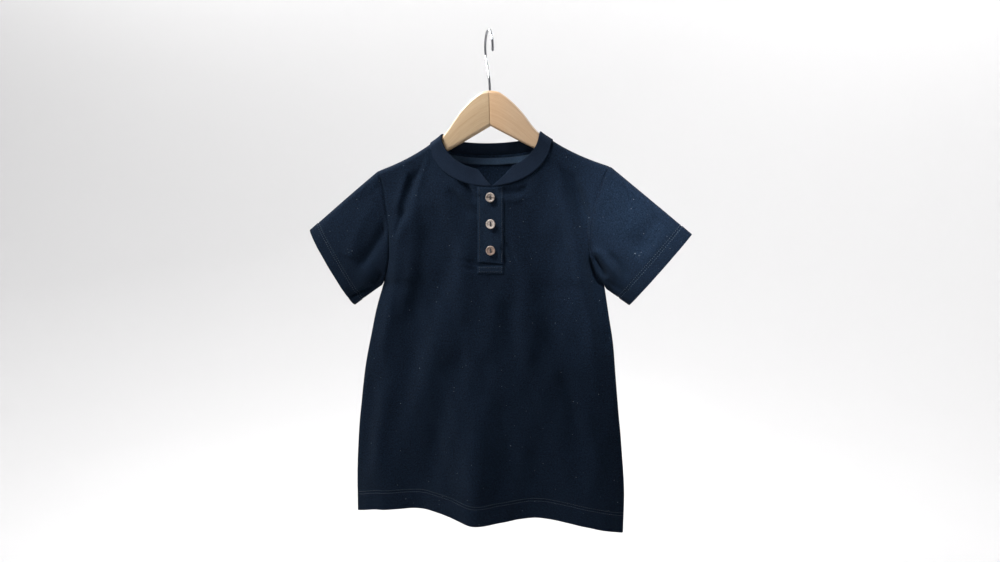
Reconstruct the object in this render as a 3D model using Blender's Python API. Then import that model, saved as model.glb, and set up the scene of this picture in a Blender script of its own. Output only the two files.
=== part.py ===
"""Short-sleeved child's shirt with a mandarin collar, hanging on a wooden hanger.

Metres, +Z up, front towards -Y.  The origin is the inside top of the hook,
where the rail bears.  The shirt's own plan (millimetres) is drawn plumb and
symmetrical in x and z, then tilted with the hanger by `hang`.
"""
import math
from typing import NamedTuple

import bmesh
import bpy
import numpy as np
from mathutils import Matrix, Vector

MM = 0.001
LEFT, RIGHT = -1, 1             # sides, as the viewer sees them
FACING = {"front": -1, "back": 1}

# ---- driving dimensions (mm) -------------------------------------------------
CLOTH = 1.2                 # wall of the jersey
HEM_WALL = 2.0              # wall where the hem is folded in
SEAM_GAP = 0.3              # clearance between touching pieces
TILT_DEG = 1.3              # the hanger hangs a little down to the left
PLUMB_FROM, PLUMB_BELOW = -200.0, -420.0    # the tilt fades out between these heights

SHOULDER_X, SHOULDER_Z = 137.0, -156.8      # shoulder tip
NECK_X = 72.0                               # neck seam on the shoulder, half-width
NECK_DROP = {"front": 51.3, "back": 17.5}
NECK_STEPS, SHOULDER_STEPS = 6, 7           # columns of half a panel at its neck and shoulder
UNDERARM_Z = -296.0
CHEST_HALF = 135.5
HEM_DEPTH = 24.0

BAND_TOP_X = 58.5           # upper edge of the collar band on the shoulder
BAND_DROP = {"front": 42.8, "back": 12.1}
BAND_WALL, BAND_PROUD = 2.0, 0.6
# Slanted ends of the band: x at the neck seam and at the upper edge.
BAND_ENDS = {LEFT: (3.0, -14.0), RIGHT: (3.4, 27.0)}
BAND_LEAN = 4.5             # the band leans in towards the neck
BAND_START = 0.025          # part of its width by which it clears the neck seam
BAND_STEPS, BAND_FRONT_STEPS, BAND_BACK_STEPS = 3, 9, 8

PLACKET_HALF, PLACKET_MIDDLE = 16.0, 1.3
PLACKET_FOOT_Z = -280.0
UNDER_HALF, UNDER_FOOT_Z = 14.0, -271.0
PLACKET_WALL = 1.6
PLACKET_TOP = 0.6           # the plackets start this far below the neck seam
PLACKET_COLS, PLACKET_ROWS = 6, 12
SLOT_HALF = 10.0            # the front is slit this far each side of the middle
SLOT_FOOT_Z = -266.0
BUTTON_HEIGHTS = {"button_top": -190.0, "button_middle": -221.0, "button_bottom": -252.0}
BUTTON_D, BUTTON_THICK, BUTTON_RIM = 11.4, 2.4, 1.3
BUTTON_HOLE_D, BUTTON_HOLE_PITCH = 1.9, 3.6
BUTTON_CHAMFER, BUTTON_WELL = 0.6, 0.6      # its rounded edge, and how deep its middle lies
BUTTON_SIDES, HOLE_SIDES = 24, 12

TAPE_HIGH, TAPE_WALL = 8.0, 1.0
TAPE_BELOW_SEAM = 1.5
TAPE_REACH = 0.8            # part of the neck's half-width that the tape covers
TAPE_COLS, TAPE_ROWS = 16, 2

CUFF_DEPTH = 11.0               # half a sleeve opening's depth, front to back
SLEEVE_RINGS = (0.0, 0.06, 0.17, 0.30, 0.44, 0.58, 0.72, 0.84, 0.92, 1.0)
SLEEVE_SEAM = 0.1               # extra clearance of a sleeve's seam from the body
SLEEVE_SMOOTH = 0.3             # a sleeve's folds grow over this part of its length

WOOD_HALF = 5.0                 # half the hanger's thickness
WOOD_REACH = 131.0              # half the hanger's length
WOOD_ROUND = 4.0                # rounding of its edges
WOOD_NOSE = 9.0                 # its tips are rounded over this length
WOOD_TIP_THICK = 0.35           # part of the thickness left at the very tip
WOOD_STATIONS = (SEAM_GAP / 2, 5, 10, 16, 22, 28, 34, 40, 46, 52, 59, 67, 77, 90, 105, 117,
                 WOOD_REACH - 9, WOOD_REACH - 5, WOOD_REACH - 2, WOOD_REACH - 0.4)
WIRE_D = 2.8
HOOK_R = 20.0                   # radius of the hook, to the middle of the wire
HOOK_TURN_DEG = -66.0           # the hook is swivelled round its stem
STEM_IN_WOOD = 14.0
STEM_STEP = 4.0                 # between the points of the straight stem
# The wire above the wood, from the straight stem to the hook: across, up.
STEM_SWEEP = ((-0.4, -61.0), (-1.6, -56.0), (-3.8, -50.5), (-6.8, -45.0), (-10.4, -39.4),
              (-14.0, -33.6))
HOOK_FROM_DEG, HOOK_TO_DEG, HOOK_STEP_DEG = 206, -25, -11

# Half-section of the shoulder where the cloth goes over the wood.
RIDGE_HALF, RIDGE_ROUND = 7.4, 7.4
RIDGE_CLEAR = CLOTH + 1.0
RIDGE_TURNS = (0.0, 22.5, 45.0, 67.5, 90.0)       # degrees round that rounding

# Each table below is read down its first column.
# Upper and lower edge of the hanger.
WOOD_TOP = {
    "x": (0, 9, 18, 27, 35, 42, 48, 54, 60, 72, 86, 104, 120, 138),
    "z": (-67.0, -68.6, -73.8, -81.6, -89.8, -98.6, -106.9, -114.0, -120.0, -128.2, -136.8,
          -146.0, -152.8, -159.4),
}
WOOD_FOOT = {
    "x": (0, 27, 50, 80, 110, 131),
    "z": (-108.0, -122.5, -134.5, -149.0, -161.5, -169.0),
}

# Side seams below the arm: half-width on each side.
SIDES = {
    "z": (-296, -330, -363, -402, -446, -489, -555, -600),
    "left": (136.5, 145.5, 151.5, 158.5, 164.5, 169.5, 173.5, 174.0),
    "right": (134.5, 141.5, 148.5, 153.5, 158.0, 162.5, 167.0, 166.5),
}

# Armhole, from shoulder tip (0) to underarm (1): half-width of the front and of the
# back edge, and how far each edge stands off the middle plane.
ARMHOLE = {
    "part": (0.0, 0.12, 0.25, 0.4, 0.55, 0.7, 0.82, 0.92, 1.0),
    "front": (137.0, 131.5, 127.5, 123.5, 121.5, 122.0, 125.0, 130.0, 135.5),
    "back": (137.0, 134.0, 131.0, 129.0, 128.0, 128.5, 130.0, 132.5, 135.5),
    "stand": (0.2, 7.5, 9.5, 11.0, 12.0, 12.0, 10.5, 7.0, 0.2),
}
ARM_SHIFT = {LEFT: 4.5, RIGHT: -4.5}    # the front armhole pulls out on the left, in on the right
ARMHOLE_ROWS = (0.0, 0.004, 0.0155, 0.033, 0.055, 0.12, 0.20, 0.30, 0.42, 0.55, 0.68, 0.80,
                0.90, 0.96, 1.0)
STAND_FROM = 0.12               # above this part the edge keeps the stand-off it has there
COLUMNS_EASE = 0.75             # the columns have spread to the side seam's by this part
UNDERARM_FROM = 0.8             # from this part on the armhole runs into the side seam

# How far the panels stand off the middle plane down the middle.
BULGE = {
    "z": (-110, -145, -178, -230, -300, -420, -600),
    "front": (8.0, 12.0, 15.5, 18.0, 19.0, 20.0, 22.0),
    "back": (8.0, 13.0, 15.0, 16.5, 17.5, 18.0, 20.0),
}
LENS_POWER, LENS_ROUND = 2.2, 0.62      # section between the middle and the side seams
BULGE_GROWS = 80.0              # the cloth swells out over this drop below the wood
WOOD_HOLDS = 25.0               # and clings to the wood for this much below it

# Wave of the lower edge: part of the half-width, the front and the back edge out of
# plane, and their heights.
HEM_WAVE = {
    "part": (-1.0, -0.8, -0.48, -0.28, -0.07, 0.12, 0.38, 0.62, 0.85, 1.0),
    "front": (0, 3, -9, 0, 14, 2, -9, -2, 3, 0),
    "back": (0, -4, 6, 5, -7, -6, 7, 4, -5, 0),
    "front_z": (-596, -587, -583, -586, -590, -587, -582, -585, -591, -597),
    "back_z": (-596, -590, -588, -587, -588, -589, -588, -588, -592, -597),
}
WAVE_FADES_Z, WAVE_ENDS_Z = -400.0, -596.0
LOW_ROWS = (-312, -334, -360, -392, -426, -462, -498, -532, -556)    # below the underarm

# Parts of the half-width over which folds and wave die away towards a side seam, and
# drops below the wood between which the folds begin.
FOLD_FADE, WAVE_FADE = 0.18, 0.1
FOLD_BEGINS, FOLD_GROWS = 4.0, 22.0


class Fold(NamedTuple):
    """One large fold: out of plane (+ ridge, - valley), half-width, route in x, z."""
    panel: str
    height: float
    half: float
    route: tuple


class Cuff(NamedTuple):
    """A sleeve's opening: its upper and lower corner, and how far it swings back."""
    top_x: float
    top_z: float
    foot_x: float
    foot_z: float
    swing: float


FOLDS = tuple(Fold(*row) for row in (
    ("front", -4.5, 8.0, ((-85, -138), (-94, -165), (-105, -201), (-116, -226))),
    ("front", 3.5, 9.0, ((-108, -212), (-118, -243), (-121, -279), (-128, -330), (-138, -400))),
    ("front", -5.5, 8.5, ((83, -129), (92, -175), (101, -202), (114, -242), (126, -298),
                          (140, -345))),
    ("front", 4.0, 9.0, ((108, -236), (118, -272), (129, -310), (142, -370))),
    ("front", -4.0, 17.0, ((-76, -206), (-83, -262), (-92, -322), (-104, -420), (-112, -500))),
    ("front", -3.5, 18.0, ((70, -227), (74, -309), (84, -400))),
    ("front", -4.0, 15.0, ((-38, -370), (-50, -410), (-60, -480), (-66, -560))),
    ("front", 3.5, 16.0, ((-12, -430), (-10, -500), (-12, -570))),
    ("back", -5.0, 10.0, ((-90, -150), (-108, -230), (-126, -330))),
    ("back", -5.0, 9.0, ((84, -150), (104, -235), (126, -345))),
    ("back", -4.0, 20.0, ((12, -230), (4, -380), (-18, -520))),
    ("back", 3.5, 16.0, ((-62, -300), (-70, -420), (-80, -540))),
    ("back", 3.5, 15.0, ((64, -320), (74, -440), (80, -560))),
    ("left", -3.0, 9.0, ((-146, -185), (-156, -215), (-160, -250), (-166, -280))),
    ("right", -3.0, 10.0, ((196, -212), (180, -232), (165, -262))),
    ("right", 3.5, 8.0, ((124, -262), (140, -278), (152, -296))),
))
# Both ends of a fold: part of its run over which it grows, and what it begins with.
FOLD_HEAD, FOLD_TAIL = (0.22, 0.25), (0.3, 0.1)

CUFFS = {LEFT: Cuff(236.0, -231.0, 178.5, -326.0, 12.0),
         RIGHT: Cuff(231.0, -236.5, 165.0, -316.0, 2.0)}

FINISHES = {
    "jersey": ((0.0100, 0.0170, 0.0290), 0.92, 0.0),
    "rib": ((0.0085, 0.0150, 0.0260), 0.94, 0.0),
    "tape": ((0.0150, 0.0230, 0.0370), 0.90, 0.0),
    "button": ((0.30, 0.235, 0.19), 0.45, 0.0),
    "wood": ((0.62, 0.43, 0.25), 0.42, 0.0),
    "chrome": ((0.62, 0.63, 0.65), 0.16, 1.0),
}


# ---- small maths ---------------------------------------------------------------
def smooth(t):
    """Ease from 0 to 1."""
    t = min(max(t, 0.0), 1.0)
    return t * t * (3 - 2 * t)


def column(table, where, name):
    """Read the named column smoothly, at `where` down the table's first column."""
    keys, values = next(iter(table.values())), table[name]
    if keys[0] > keys[-1]:
        keys, values = keys[::-1], values[::-1]
    if where <= keys[0]:
        return values[0]
    if where >= keys[-1]:
        return values[-1]
    i = max(k for k in range(len(keys) - 1) if keys[k] <= where)
    step = keys[i + 1] - keys[i]
    t = (where - keys[i]) / step

    def slope(k):
        if k in (0, len(keys) - 1):
            j = min(k, len(keys) - 2)
            return (values[j + 1] - values[j]) / (keys[j + 1] - keys[j])
        rise, fall = ((values[k + 1] - values[k]) / (keys[k + 1] - keys[k]),
                      (values[k] - values[k - 1]) / (keys[k] - keys[k - 1]))
        return 0.0 if rise * fall <= 0 else 2 * rise * fall / (rise + fall)

    a, b = values[i], values[i + 1]
    return (a * (1 + 2 * t) * (1 - t) ** 2 + b * t * t * (3 - 2 * t)
            + step * t * (1 - t) * ((1 - t) * slope(i) - t * slope(i + 1)))


def hang(point):
    """Tilt a plan point with the hanger; lower down the cloth hangs plumb."""
    x, y, z = point
    turn = math.radians(TILT_DEG) * (1 - smooth((PLUMB_FROM - z) / (PLUMB_FROM - PLUMB_BELOW)))
    return (x * math.cos(turn) - z * math.sin(turn), y, z * math.cos(turn) + x * math.sin(turn))


# ---- the shirt's form ------------------------------------------------------------
def ridge_z(x):
    """Height of the cloth's outer face where it goes over the hanger at x."""
    return column(WOOD_TOP, min(abs(x), SHOULDER_X), "z") + RIDGE_CLEAR


def over_wood(drop):
    """Part of the ridge's half-thickness reached `drop` below its top."""
    return math.sqrt(1 - (1 - min(max(drop, 0.0) / RIDGE_ROUND, 1.0)) ** 2)


def shoulder_drops():
    """Drops below the ridge at which its rounding is cut into facets."""
    return [RIDGE_ROUND * (1 - math.cos(math.radians(turn))) for turn in RIDGE_TURNS]


def arm_x(part, side, face):
    """Half-width at the armhole, part of the way down from the shoulder tip."""
    pull = math.sin(math.pi * min(max(part, 0.0), 1.0)) if face == "front" else 0.0
    return column(ARMHOLE, part, face) + ARM_SHIFT[side] * pull


def down_armhole(z):
    """Part of the way from the shoulder tip to the underarm at z."""
    return (SHOULDER_Z - z) / (SHOULDER_Z - UNDERARM_Z)


def side_x(z, side, face):
    """Half-width of the body at z, on one side of the front or back."""
    if z >= UNDERARM_Z:
        return arm_x(down_armhole(z), side, face)
    return column(SIDES, z, "left" if side == LEFT else "right")


def edge_stand(z):
    """How far a panel's side edge stands off the middle plane at z."""
    return column(ARMHOLE, max(down_armhole(z), STAND_FROM), "stand")


def fold_stand(panel, x, z):
    """Sum of the folds of a panel at a plan point."""
    total = 0.0
    for fold in (fold for fold in FOLDS if fold.panel == panel):
        route, best, along, run = fold.route, math.inf, 0.0, 0.0
        lengths = [math.dist(a, b) for a, b in zip(route, route[1:])]
        for (a, b), length in zip(zip(route, route[1:]), lengths):
            t = ((x - a[0]) * (b[0] - a[0]) + (z - a[1]) * (b[1] - a[1])) / length ** 2
            t = min(max(t, 0.0), 1.0)
            away = math.dist((x, z), (a[0] + t * (b[0] - a[0]), a[1] + t * (b[1] - a[1])))
            if away < best:
                best, along = away, run + t * length
            run += length
        ends = (smooth(along / (FOLD_HEAD[0] * run) + FOLD_HEAD[1])
                * smooth((run - along) / (FOLD_TAIL[0] * run) + FOLD_TAIL[1]))
        total += fold.height * ends * math.exp(-(best / fold.half) ** 2)
    return total


def stand(face, x, z, across):
    """Distance of a panel's outer face from the middle plane.

    face is "front" or "back"; across is the part of the half-width, from -1 to 1.
    """
    lens = max(1 - abs(across) ** LENS_POWER, 0.0) ** LENS_ROUND
    edge = edge_stand(z)
    drop = ridge_z(x) - z
    full = edge + (column(BULGE, z, face) - edge) * lens
    grown = RIDGE_HALF + (full - RIDGE_HALF) * smooth(drop / BULGE_GROWS)
    if z < SHOULDER_Z and abs(across) > 0.999:
        grown = full
    inward = 1 - abs(across)
    low = smooth((WAVE_FADES_Z - z) / (WAVE_FADES_Z - WAVE_ENDS_Z))
    loose = smooth(inward / FOLD_FADE) * smooth((drop - FOLD_BEGINS) / FOLD_GROWS)
    grown += low * column(HEM_WAVE, across, face) * smooth(inward / WAVE_FADE)
    grown += loose * fold_stand(face, x, z)
    below = column(WOOD_FOOT, min(abs(x), WOOD_REACH), "z") - z
    return over_wood(drop) * max(grown, RIDGE_HALF * (1 - smooth(below / WOOD_HOLDS)))


def neck_edge(turn, half, drop):
    """Plan point of an oval neck edge, `turn` radians from the shoulder."""
    return half * math.cos(turn), ridge_z(half) - drop * math.sin(turn)


def neck_turns(drop, last, count):
    """Angles from the shoulder to `last`, close together over the wood."""
    near = [math.asin(min(d / drop, 1.0)) for d in shoulder_drops()]
    return near + [near[-1] + (last - near[-1]) * k / count for k in range(1, count + 1)]


def half_columns(face):
    """Columns of one half panel from the middle out: top x, top z, low part."""
    drop = NECK_DROP[face]
    turns = neck_turns(drop, math.acos(SLOT_HALF / NECK_X), NECK_STEPS)[::-1]
    tops = [neck_edge(turn, NECK_X, drop) for turn in turns]
    for k in range(1, SHOULDER_STEPS + 1):
        x = NECK_X + (SHOULDER_X - NECK_X) * k / SHOULDER_STEPS
        tops.append((x, ridge_z(x)))
    first = SLOT_HALF / CHEST_HALF
    low = [first + (1 - first) * k / (len(tops) - 1) for k in range(len(tops))]
    return [(x, z, part) for (x, z), part in zip(tops, low)]


def panel_columns(face):
    """All columns of a panel, left to right."""
    half = half_columns(face)
    middle = [(0.0, neck_edge(math.pi / 2, NECK_X, NECK_DROP[face])[1], 0.0)]
    return [(-x, z, -part) for x, z, part in half[::-1]] + middle + half


def panel_rows():
    """Rows of a panel from the top: ('arm', part) above the underarm, ('low', z)."""
    return ([("arm", part) for part in ARMHOLE_ROWS] + [("low", z) for z in LOW_ROWS]
            + [("hem", 1.0), ("hem", 0.5), ("hem", 0.0)])


def panel_plan(face, col, row):
    """Plan x, z and part of the half-width of one grid point."""
    top_x, top_z, part = col
    kind, value = row
    side = LEFT if part < 0 else RIGHT
    if kind == "arm":
        z = top_z + (UNDERARM_Z - top_z) * value
        ease = smooth(value / COLUMNS_EASE)
        part = (1 - ease) * top_x / SHOULDER_X + ease * part
        reach = arm_x(value, side, face)
        if value > UNDERARM_FROM:
            last = (value - UNDERARM_FROM) / (1 - UNDERARM_FROM)
            reach += (side_x(UNDERARM_Z - 0.1, side, face) - CHEST_HALF) * last
        return part * reach, z, part
    if kind == "low":
        z = value
    else:
        z = column(HEM_WAVE, part, f"{face}_z") + HEM_DEPTH * value
    return part * side_x(z, side, face), z, part


def panel_grid(face):
    """Outer points of a panel, rows from the top, columns left to right."""
    cols, rows = panel_columns(face), panel_rows()
    grid = np.zeros((len(rows), len(cols), 3))
    for i, row in enumerate(rows):
        for j, col in enumerate(cols):
            x, z, part = panel_plan(face, col, row)
            depth = max(stand(face, x, z, part), SEAM_GAP / 2)
            if i == 0 and abs(col[0]) >= NECK_X - 0.01:
                depth = SEAM_GAP / 2
            grid[i, j] = (x, FACING[face] * depth, z)
    return grid


# ---- walls -------------------------------------------------------------------------
def outward(grid, wrap=False):
    """Unit normals of a grid of outer points."""
    if wrap:
        across = np.roll(grid, -1, axis=1) - np.roll(grid, 1, axis=1)
    else:
        across = np.gradient(grid, axis=1)
    down = np.gradient(grid, axis=0)
    normal = np.cross(down, across)
    return normal / np.maximum(np.linalg.norm(normal, axis=2, keepdims=True), 1e-9)


def sink(grid, normal, thick):
    """Points `thick` inside a grid; thick is one number or one for each row."""
    thick = np.broadcast_to(np.asarray(thick, float).reshape(-1, 1, 1), grid[..., :1].shape)
    return grid - normal * thick


def material(name):
    """Principled material of one finish."""
    found = bpy.data.materials.get(name)
    if found:
        return found
    made = bpy.data.materials.new(name)
    made.use_nodes = True
    colour, rough, metal = FINISHES[name]
    shader = made.node_tree.nodes["Principled BSDF"]
    shader.inputs["Base Color"].default_value = (*colour, 1.0)
    shader.inputs["Roughness"].default_value = rough
    shader.inputs["Metallic"].default_value = metal
    return made


def add_object(name, mesh_or_curve, finish):
    """Put named data in the scene with its material."""
    made = bpy.data.objects.new(name, mesh_or_curve)
    mesh_or_curve.materials.append(material(finish))
    bpy.context.scene.collection.objects.link(made)
    return made


def close_mesh(name, finish, bm):
    """Finish a bmesh in millimetres as one closed body in metres."""
    bmesh.ops.recalc_face_normals(bm, faces=bm.faces[:])
    bmesh.ops.triangulate(bm, faces=bm.faces[:])
    mesh = bpy.data.meshes.new(name)
    bmesh.ops.scale(bm, vec=(MM, MM, MM), verts=bm.verts[:])
    bm.to_mesh(mesh)
    bm.free()
    mesh.shade_smooth()
    return add_object(name, mesh, finish)


def sheet_solid(name, finish, outer, inner, wrap=False, missing=()):
    """Closed wall between two grids of plan points, hung with the hanger.

    missing holds the cells (row, column) left out as a slot.
    """
    bm = bmesh.new()
    rows, cols = outer.shape[:2]
    made = {}

    def vert(layer, i, j):
        key = (layer, i, j % cols)
        if key not in made:
            made[key] = bm.verts.new(hang((outer, inner)[layer][i, j % cols]))
        return made[key]

    edges = {}
    for i in range(rows - 1):
        for j in range(cols if wrap else cols - 1):
            if (i, j) in missing:
                continue
            ring = ((i, j), (i, j + 1), (i + 1, j + 1), (i + 1, j))
            bm.faces.new([vert(0, *spot) for spot in ring])
            bm.faces.new([vert(1, *spot) for spot in reversed(ring)])
            for a, b in zip(ring, ring[1:] + ring[:1]):
                a, b = (a[0], a[1] % cols), (b[0], b[1] % cols)
                if (b, a) in edges:
                    del edges[(b, a)]
                else:
                    edges[(a, b)] = True
    for a, b in edges:
        bm.faces.new((vert(0, *b), vert(0, *a), vert(1, *a), vert(1, *b)))
    return close_mesh(name, finish, bm)


# ---- cloth pieces ----------------------------------------------------------------
def build_panel(face):
    """Front or back: one wall, its hem double, the front slit for the placket."""
    outer = panel_grid(face)
    cols, rows = panel_columns(face), panel_rows()
    normal = outward(outer) * -FACING[face]
    low = len(ARMHOLE_ROWS) - 1
    normal[low:, (0, -1), 1] = 0.0
    shoulder = [j for j, col in enumerate(cols) if abs(col[0]) >= NECK_X - 0.01]
    normal[0, shoulder, 1] = 0.0
    normal /= np.linalg.norm(normal, axis=2, keepdims=True)
    thick = [HEM_WALL if kind == "hem" else CLOTH for kind, _ in rows]
    inner = sink(outer, normal, thick)
    for edge, side in ((0, LEFT), (-1, RIGHT)):     # nothing reaches past the armhole's edge
        inner[:, edge, 0] = side * np.minimum(side * inner[:, edge, 0], side * outer[:, edge, 0])
    missing = set()
    if face == "front":
        middle = len(cols) // 2
        foot = min(i for i in range(len(rows)) if outer[i, middle, 2] < SLOT_FOOT_Z)
        missing = {(i, j) for i in range(foot) for j in (middle - 1, middle)}
    sheet_solid(face, "jersey", outer, inner, missing=missing)
    return outer


def sleeve_grid(side, front, back):
    """Outer rings of a sleeve, from the armhole to its opening."""
    edge = 0 if side == LEFT else -1
    count = len(ARMHOLE_ROWS)
    cuff, panels = CUFFS[side], {"front": front, "back": back}
    loop = ([(k, "front") for k in range(count)]
            + [(k, "back") for k in range(count - 2, 0, -1)])
    grid = np.zeros((len(SLEEVE_RINGS), len(loop), 3))
    for r, t in enumerate(SLEEVE_RINGS):
        for c, (k, face) in enumerate(loop):
            x, y, z = panels[face][k, edge]
            if k in (0, count - 1):
                y = 0.0
            along = ARMHOLE_ROWS[k]
            lens = max(1 - abs(2 * along - 1) ** LENS_POWER, 0.0) ** LENS_ROUND
            end_x = side * (cuff.top_x + (cuff.foot_x - cuff.top_x) * along)
            end_y = FACING[face] * CUFF_DEPTH * lens
            end_z = cuff.top_z + (cuff.foot_z - cuff.top_z) * along
            px = (x + side * (SEAM_GAP + SLEEVE_SEAM)) * (1 - t) + end_x * t
            pz = z * (1 - t) + end_z * t
            ease = smooth(t)
            py = y * (1 - ease) + end_y * ease + cuff.swing * t ** 2
            if face == "front":
                room = smooth(t / SLEEVE_SMOOTH) * smooth(lens)
                py -= room * fold_stand("left" if side == LEFT else "right", px, pz)
            grid[r, c] = (px, py, pz)
    return grid


def build_sleeve(name, side, front, back):
    """Sleeve: a flattened tube, its hem double, open at both ends."""
    outer = sleeve_grid(side, front, back)
    normal = outward(outer, wrap=True) * side
    thick = [CLOTH] * (len(outer) - 2) + [HEM_WALL] * 2
    inner = sink(outer, normal, thick)
    inner[0, :, 0] = side * np.maximum(side * inner[0, :, 0], side * outer[0, :, 0])
    sheet_solid(name, "jersey", outer, inner, wrap=True)


def band_point(part, turn, face):
    """Plan point of the collar band's outer face, part of its width up."""
    half = NECK_X + (BAND_TOP_X - NECK_X) * part
    x, z = neck_edge(turn, half, NECK_DROP[face] + (BAND_DROP[face] - NECK_DROP[face]) * part)
    depth = stand(face, abs(x), z, x / SHOULDER_X) - BAND_LEAN * part * math.sin(turn) ** 2
    return np.array((x, FACING[face] * depth, z))


def build_collar():
    """Collar band: a strip round the neck whose slanted ends meet in a V."""
    parts = [BAND_START + (1 - BAND_START) * k / BAND_STEPS for k in range(BAND_STEPS + 1)]
    front = neck_turns(NECK_DROP["front"], math.pi / 2, BAND_FRONT_STEPS)[1:]
    back = neck_turns(NECK_DROP["back"], math.pi / 2, BAND_BACK_STEPS)
    near = len(RIDGE_TURNS) - 2
    grid = []
    for part in parts:
        half = NECK_X + (BAND_TOP_X - NECK_X) * part
        row = []
        for side in (LEFT, RIGHT):
            seam_x, top_x = BAND_ENDS[side]
            end = math.acos(side * (seam_x + (top_x - seam_x) * part) / half)
            stretch = (end - front[near]) / (front[-1] - front[near])
            turns = [turn if k <= near else front[near] + (turn - front[near]) * stretch
                     for k, turn in enumerate(front)]
            points = [band_point(part, turn, "front") for turn in turns[::-1]]
            points += [band_point(part, turn, "back") for turn in back]
            points = [point * (side, 1, 1) for point in points]
            row += points if side == LEFT else points[-2::-1]
        grid.append(row)
    outer = np.array(grid)
    normal = -outward(outer)
    outer = outer + normal * BAND_PROUD
    inner = sink(outer, normal, BAND_WALL)
    sheet_solid("collar_band", "rib", outer[::-1], inner[::-1])


def on_panel(face, xs, z_tops, foot, rows, lift):
    """Grid of points on a panel's outer face, moved out by lift."""
    grid = np.zeros((rows + 1, len(xs), 3))
    for i in range(rows + 1):
        for j, (x, top) in enumerate(zip(xs, z_tops)):
            bottom = foot(x) if callable(foot) else foot
            z = top + (bottom - top) * i / rows
            grid[i, j] = (x, FACING[face] * (stand(face, x, z, x / SHOULDER_X) + lift), z)
    return grid


def build_plackets():
    """Upper placket over the slit and the under placket behind it."""
    def top(x):
        return neck_edge(math.acos(x / NECK_X), NECK_X, NECK_DROP["front"])[1] - PLACKET_TOP
    for name, half, foot, lift, wall in (
            ("placket_over", PLACKET_HALF, PLACKET_FOOT_Z, SEAM_GAP + PLACKET_WALL, PLACKET_WALL),
            ("placket_under", UNDER_HALF, UNDER_FOOT_Z, -CLOTH - SEAM_GAP, CLOTH)):
        xs = [PLACKET_MIDDLE + half * (2 * k / PLACKET_COLS - 1) for k in range(PLACKET_COLS + 1)]
        outer = on_panel("front", xs, [top(x) for x in xs], foot, PLACKET_ROWS, lift)
        inner = outer + np.array((0.0, wall, 0.0))
        sheet_solid(name, "jersey", outer, inner)


def build_tape():
    """Tape along the inside of the back neck seam."""
    first = math.acos(TAPE_REACH)
    turns = [first + (math.pi - 2 * first) * k / TAPE_COLS for k in range(TAPE_COLS + 1)]
    tops = [neck_edge(turn, NECK_X, NECK_DROP["back"]) for turn in turns[::-1]]
    xs = [x for x, _ in tops]
    z_tops = [z - TAPE_BELOW_SEAM for _, z in tops]
    ends = dict(zip(xs, z_tops))
    outer = on_panel("back", xs, z_tops, lambda x: ends[x] - TAPE_HIGH, TAPE_ROWS,
                     -CLOTH - SEAM_GAP)
    inner = outer - np.array((0.0, TAPE_WALL, 0.0))
    sheet_solid("neck_tape", "tape", outer, inner)


# ---- hard pieces -------------------------------------------------------------------
def cutter(name, radius, length, at, turn):
    """Hidden round cutter, in metres."""
    bm = bmesh.new()
    bmesh.ops.create_cone(bm, cap_ends=True, segments=HOLE_SIDES, radius1=radius * MM,
                          radius2=radius * MM, depth=length * MM)
    mesh = bpy.data.meshes.new(name)
    bmesh.ops.transform(bm, matrix=Matrix.Translation(Vector(at) * MM) @ turn, verts=bm.verts[:])
    bm.to_mesh(mesh)
    bm.free()
    made = bpy.data.objects.new(name, mesh)
    made.hide_render = True
    made.display_type = "WIRE"
    bpy.context.scene.collection.objects.link(made)
    return made


def cut(target, tool):
    """Take a cutter out of a piece."""
    step = target.modifiers.new("cut", "BOOLEAN")
    step.operation = "DIFFERENCE"
    step.object = tool


def build_button(name, z):
    """Round two-hole button with a raised rim, flat against the placket."""
    radius = BUTTON_D / 2
    well = radius - BUTTON_RIM
    profile = ((radius - 0.5, 0.0), (radius, BUTTON_CHAMFER),
               (radius, BUTTON_THICK - BUTTON_CHAMFER), (radius - 0.4, BUTTON_THICK),
               (well, BUTTON_THICK), (well - BUTTON_WELL, BUTTON_THICK - BUTTON_WELL))
    bm = bmesh.new()
    rings = [[bm.verts.new((r * math.cos(2 * math.pi * k / BUTTON_SIDES),
                            r * math.sin(2 * math.pi * k / BUTTON_SIDES), up))
              for k in range(BUTTON_SIDES)] for r, up in profile]
    for low, high in zip(rings, rings[1:]):
        for k in range(BUTTON_SIDES):
            m = (k + 1) % BUTTON_SIDES
            bm.faces.new((low[k], low[m], high[m], high[k]))
    bm.faces.new(rings[0][::-1])
    bm.faces.new(rings[-1])
    lift = SEAM_GAP + PLACKET_WALL + SEAM_GAP
    x = PLACKET_MIDDLE
    seat, above, below = (
        np.array(hang((x, -(stand("front", x, level, x / SHOULDER_X) + lift), level)))
        for level in (z, z + 4, z - 4))
    up = Vector(above - below).normalized()
    out = Vector((1, 0, 0)).cross(up).normalized()
    out = out if out.y < 0 else -out
    turn = Matrix((up.cross(out), up, out)).transposed().to_4x4()
    bmesh.ops.transform(bm, matrix=Matrix.Translation(Vector(seat)) @ turn, verts=bm.verts[:])
    made = close_mesh(name, "button", bm)
    for k, shift in enumerate((-0.5, 0.5)):
        at = Vector(seat) + up * shift * BUTTON_HOLE_PITCH + out * BUTTON_THICK / 2
        cut(made, cutter(f"{name}_hole_{k}", BUTTON_HOLE_D / 2, BUTTON_THICK * 3, at, turn))


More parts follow.
